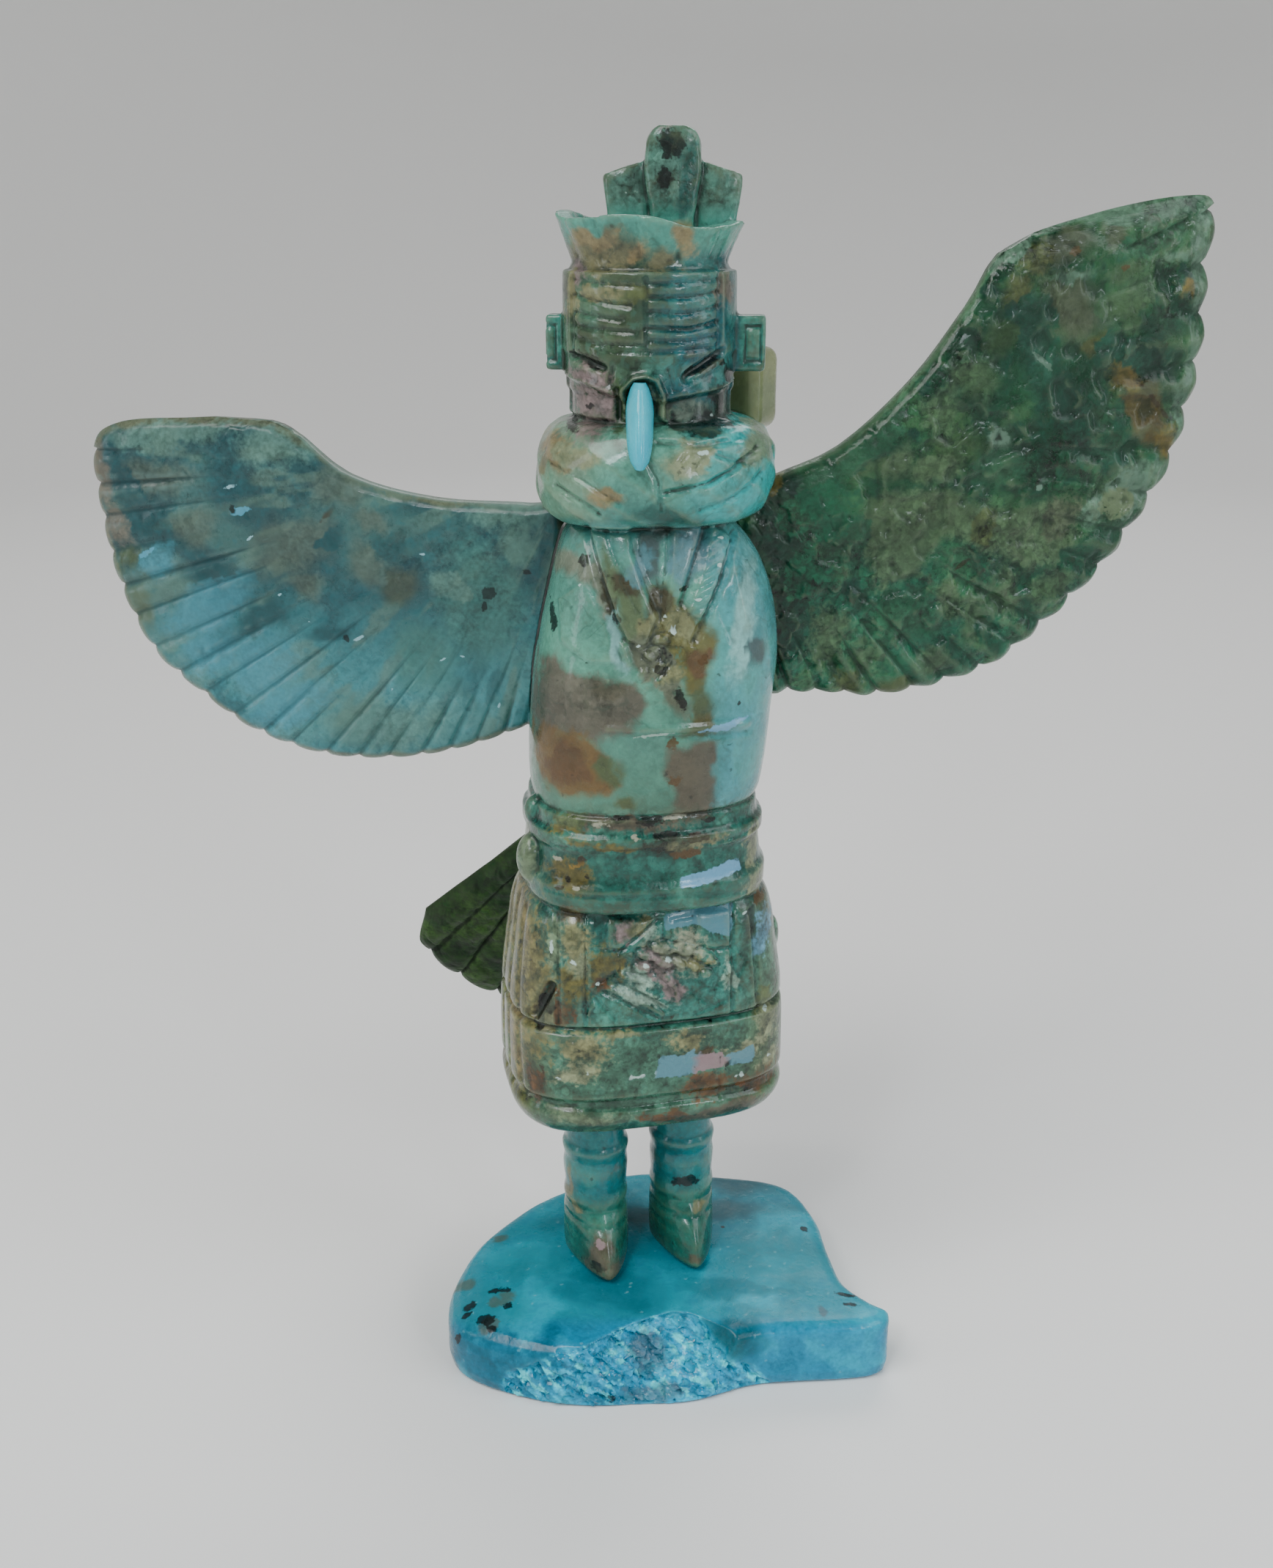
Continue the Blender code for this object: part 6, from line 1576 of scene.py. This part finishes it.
LOOKS = {
    "green_turquoise": {},
    "blue_green_turquoise": {
        "cloud": 0.009, "mottle": 0.14, "balance": (0.58, 0.86, 0.88), "second": (92, 112, 102),
        "second_share": 0.4, "third": (44, 86, 90), "third_share": 0.4, "grain_share": 0.6,
        "seam_share": 0.3, "stain_share": 0.7, "stain_break": 1.0, "edge_low": 0.26, "edge_high": 0.74,
        "fleck_share": 0.8, "vein_share": 0.0, "speck_share": 0.15, "seam_and_cut_tone": (24, 58, 62), "cut_tone_share": 0.4,
        "worn": (120, 156, 150), "rough": 0.32, "coat": 0.12, "shine": 0.26,
    },
    "dark_green_turquoise": {
        "cloud": 0.0075, "mottle": 0.27, "balance": (0.36, 0.78, 0.65), "second": (76, 96, 66),
        "second_share": 0.4, "third": (22, 64, 54), "third_share": 0.5, "grain_size": 0.0009,
        "grain_share": 0.95, "stain_share": 0.74, "stain_break": 1.0, "bump": 0.6, "edge_low": 0.26,
        "edge_high": 0.76, "fleck_share": 0.7, "vein_share": 0.0, "speck_share": 0.3, "seam_and_cut_tone": (12, 36, 26),
        "cut_tone_share": 0.5, "speck": (10, 24, 18), "worn": (108, 126, 98), "rough": 0.3, "coat": 0.15,
        "shine": 0.26,
    },
    "tail_turquoise": {
        "mottle": 0.25, "balance": (0.34, 0.62, 0.24), "second": (86, 100, 62), "second_share": 0.6,
        "third": (22, 52, 38), "third_share": 0.6, "vein_share": 0.0, "seam_and_cut_tone": (12, 22, 12),
        "worn": (74, 88, 62), "rough": 0.42, "coat": 0.0, "shine": 0.2,
    },
    "bright_turquoise": {
        "cloud": 0.007, "mottle": 0.15, "balance": (0.1, 0.97, 1.04), "second": (72, 164, 180),
        "second_share": 0.5, "third": (20, 112, 136), "third_share": 0.4, "grain_size": 0.0009,
        "grain_share": 0.4, "seam_share": 0.2, "stain_share": 0.7, "vein": (24, 90, 104), "vein_share": 0.2,
        "vein_size": 0.005, "speck": (150, 206, 214), "speck_share": 0.2, "seam_and_cut_tone": (12, 82, 104),
        "cut_tone_share": 0.45, "worn": (84, 170, 196), "worn_share": 0.1, "sparkle": 0.35, "rough": 0.3,
        "coat": 0.06, "shine": 0.26,
    },
    "sky_blue_stone": {
        "cloud": 0.003, "mottle": 0.06, "balance": (0.18, 0.88, 0.98), "second": (128, 194, 204),
        "second_share": 0.4, "third": (88, 158, 172), "third_share": 0.2, "vein_share": 0.0,
        "speck_share": 0.0, "cut_tone_share": 0.2, "worn_share": 0.2, "bump": 0.1,
    },
    "olive_stone": {
        "cloud": 0.004, "mottle": 0.08, "balance": (0.94, 1.0, 0.84), "second": (122, 124, 92),
        "second_share": 0.4, "third": (96, 104, 80), "third_share": 0.3, "vein_share": 0.0,
        "speck_share": 0.1, "cut_tone_share": 0.3, "worn": (150, 152, 124), "bump": 0.12,
    },
}

def world_outline(outline_shares, span, raise_turn, root, mirror):
    """A wing's outline on the front view, in millimetres."""
    outline = smooth_closed(np.array(outline_shares) * span, 2)
    c, s = math.cos(raise_turn), math.sin(raise_turn)
    x = outline[:, 0] * c + outline[:, 1] * s
    z = outline[:, 0] * s - outline[:, 1] * c
    x = np.where(mirror, -x, x) * 0.99 + root[0]
    track = [tuple(p) for p in np.stack([x, z + root[2]], axis=1) / MM]
    return track + track[:1]

figure = build_figure()
lowered = build_wing(
    "lowered_wing_stone", LOW_WING_OUTLINE, LOW_WING_SPAN, LOW_FAN, LOW_CUT, 2,
    LOW_WING_SWEEP, LOW_WING_RAISE, LOW_ROOT, mirrored=True,
)
raised = build_wing(
    "raised_wing_stone", HIGH_WING_OUTLINE, HIGH_WING_SPAN, HIGH_FAN, HIGH_CUT, 5,
    HIGH_WING_SWEEP, HIGH_WING_RAISE, HIGH_ROOT,
)
tail = build_tail()
base = build_base()
beak = build_beak()
block = build_block()

paint_figure(figure.data)
low_outline = world_outline(LOW_WING_OUTLINE, LOW_WING_SPAN, LOW_WING_RAISE, LOW_ROOT, True)
paint_wing(
    lowered.data, ((80, 128, 132), (52, 78, 80)), (62, 74), LOW_STAINS_AND_SHEEN, LOW_FLECKS, low_outline,
    (126, 110, 84), 0.75, 71, (-5.0, 85.5), (0.0014, 0.30, (110, 120, 106), (40, 78, 84), 0.55, 0.4),
)
high_outline = world_outline(HIGH_WING_OUTLINE, HIGH_WING_SPAN, HIGH_WING_RAISE, HIGH_ROOT, False)
paint_wing(
    raised.data, ((42, 94, 78), (36, 68, 50)), (64, 80), HIGH_STAINS, HIGH_FLECKS, high_outline,
    (110, 120, 98), 0.5, 83, (3.0, 87.0), (0.0019, 0.62, (100, 110, 78), (16, 52, 40), 0.6, 0.75),
)
paint_plain(tail.data, (38, 64, 38), (76, 92, 54), 0.007, 91, 0.7)
paint_base(base.data)
paint_plain(beak.data, (100, 176, 190), (122, 190, 200), 0.004, 95, 0.0)
paint_plain(block.data, (108, 116, 90), (122, 126, 96), 0.004, 97, 0.1)

for piece, node, slot_name in (
    (base, "base", "bright_turquoise"), (figure, "figure", "green_turquoise"),
    (lowered, "wing_lowered", "blue_green_turquoise"), (raised, "wing_raised", "dark_green_turquoise"),
    (tail, "tail", "tail_turquoise"), (beak, "beak", "sky_blue_stone"), (block, "nape_block", "olive_stone"),
):
    piece.data.shade_smooth()
    piece.data.materials.clear()
    piece.data.materials.append(stone_material(slot_name, {**PLAIN_LOOK, **LOOKS[slot_name]}))
    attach(piece, "root")
    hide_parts(node)
leave_shards_flat(base.data)

def build_stage():
    """A pale bowl: a flat floor that curves up all round."""
    radius, bend, wall = 0.55, 0.35, 0.9
    profile = [(0.001, 0.0), (0.2, 0.0), (radius, 0.0)]
    for step in range(1, 17):
        angle = math.pi / 2 * step / 16
        profile.append((radius + bend * math.sin(angle), bend * (1 - math.cos(angle))))
    profile.append((radius + bend, wall))
    around = 96
    angle = np.linspace(0, 2 * math.pi, around, endpoint=False)
    rows = [np.stack([r * np.cos(angle), r * np.sin(angle), np.full(around, z)], axis=1) for r, z in profile]
    rows = np.array(rows)
    index = np.arange(len(rows) * around).reshape(len(rows), around)
    quads = np.stack([index[:-1], index[1:], np.roll(index[1:], -1, 1), np.roll(index[:-1], -1, 1)], axis=-1)
    faces = quads.reshape(-1, 4)[:, ::-1].tolist() + [index[0].tolist()]
    mesh = bpy.data.meshes.new("floor")
    mesh.from_pydata(rows.reshape(-1, 3).tolist(), [], faces)
    bm = bmesh.new()
    bm.from_mesh(mesh)
    bmesh.ops.recalc_face_normals(bm, faces=bm.faces)
    if bm.faces[0].normal.z < 0:
        bmesh.ops.reverse_faces(bm, faces=bm.faces)
    bm.to_mesh(mesh)
    bm.free()
    mesh.shade_smooth()
    mesh.transform(Matrix.Translation((0, 0, -0.00002)))
    floor = add_object("floor", mesh)
    material = bpy.data.materials.new("pale_floor")
    material.use_nodes = True
    shader = material.node_tree.nodes["Principled BSDF"]
    shader.inputs["Base Color"].default_value = (0.84, 0.84, 0.83, 1)
    shader.inputs["Roughness"].default_value = 0.6
    mesh.materials.append(material)

def area_light(name, place, target, size, power, colour=(1, 1, 1)):
    data = bpy.data.lights.new(name, "AREA")
    data.shape = "RECTANGLE"
    data.size, data.size_y = size
    data.energy = power
    data.color = colour
    light = bpy.data.objects.new(name, data)
    light.location = place
    light.rotation_euler = (Vector(target) - Vector(place)).to_track_quat("-Z", "Y").to_euler()
    bpy.context.scene.collection.objects.link(light)
    return light

def build_lights():
    middle = (0, 0, 0.06)
    area_light("key", (-0.28, -0.30, 0.62), middle, (0.42, 0.34), 3.6, (1.0, 0.985, 0.96))
    area_light("fill", (0.42, -0.22, 0.46), middle, (0.34, 0.34), 1.15, (0.94, 0.97, 1.0))
    area_light("back", (0.10, 0.45, 0.55), middle, (0.40, 0.30), 1.5)
    for name, place, size, power in (
        ("right strip", (0.21, -0.075, 0.11), (0.03, 0.10), 0.05),
        ("left strip", (-0.21, -0.085, 0.11), (0.03, 0.10), 0.05),
        ("right window", (0.15, -0.24, 0.17), (0.035, 0.06), 0.14),
        ("left window", (-0.10, -0.24, 0.26), (0.035, 0.05), 0.17),
    ):
        light = area_light(name, place, middle, size, power, (0.85, 0.94, 1.0))
        light.visible_camera = False
    world = bpy.data.worlds.new("studio")
    world.use_nodes = True
    world.node_tree.nodes["Background"].inputs["Color"].default_value = (0.82, 0.86, 0.90, 1)
    world.node_tree.nodes["Background"].inputs["Strength"].default_value = 0.11
    bpy.context.scene.world = world

def build_camera():
    """The photograph's view: close, a little above, looking down."""
    focal_pixels, frame_height, sensor = 2220.0, 2139.0, 36.0
    data = bpy.data.cameras.new("camera")
    data.sensor_width = sensor
    data.lens = focal_pixels / frame_height * sensor
    data.clip_start = 0.001
    data.clip_end = 10
    camera = bpy.data.objects.new("camera", data)
    camera.location = (-0.0011, -0.138, 0.104)
    camera.rotation_euler = (math.radians(90 - 19.6), 0, 0)
    bpy.context.scene.collection.objects.link(camera)
    bpy.context.scene.camera = camera

build_stage()
build_lights()
build_camera()
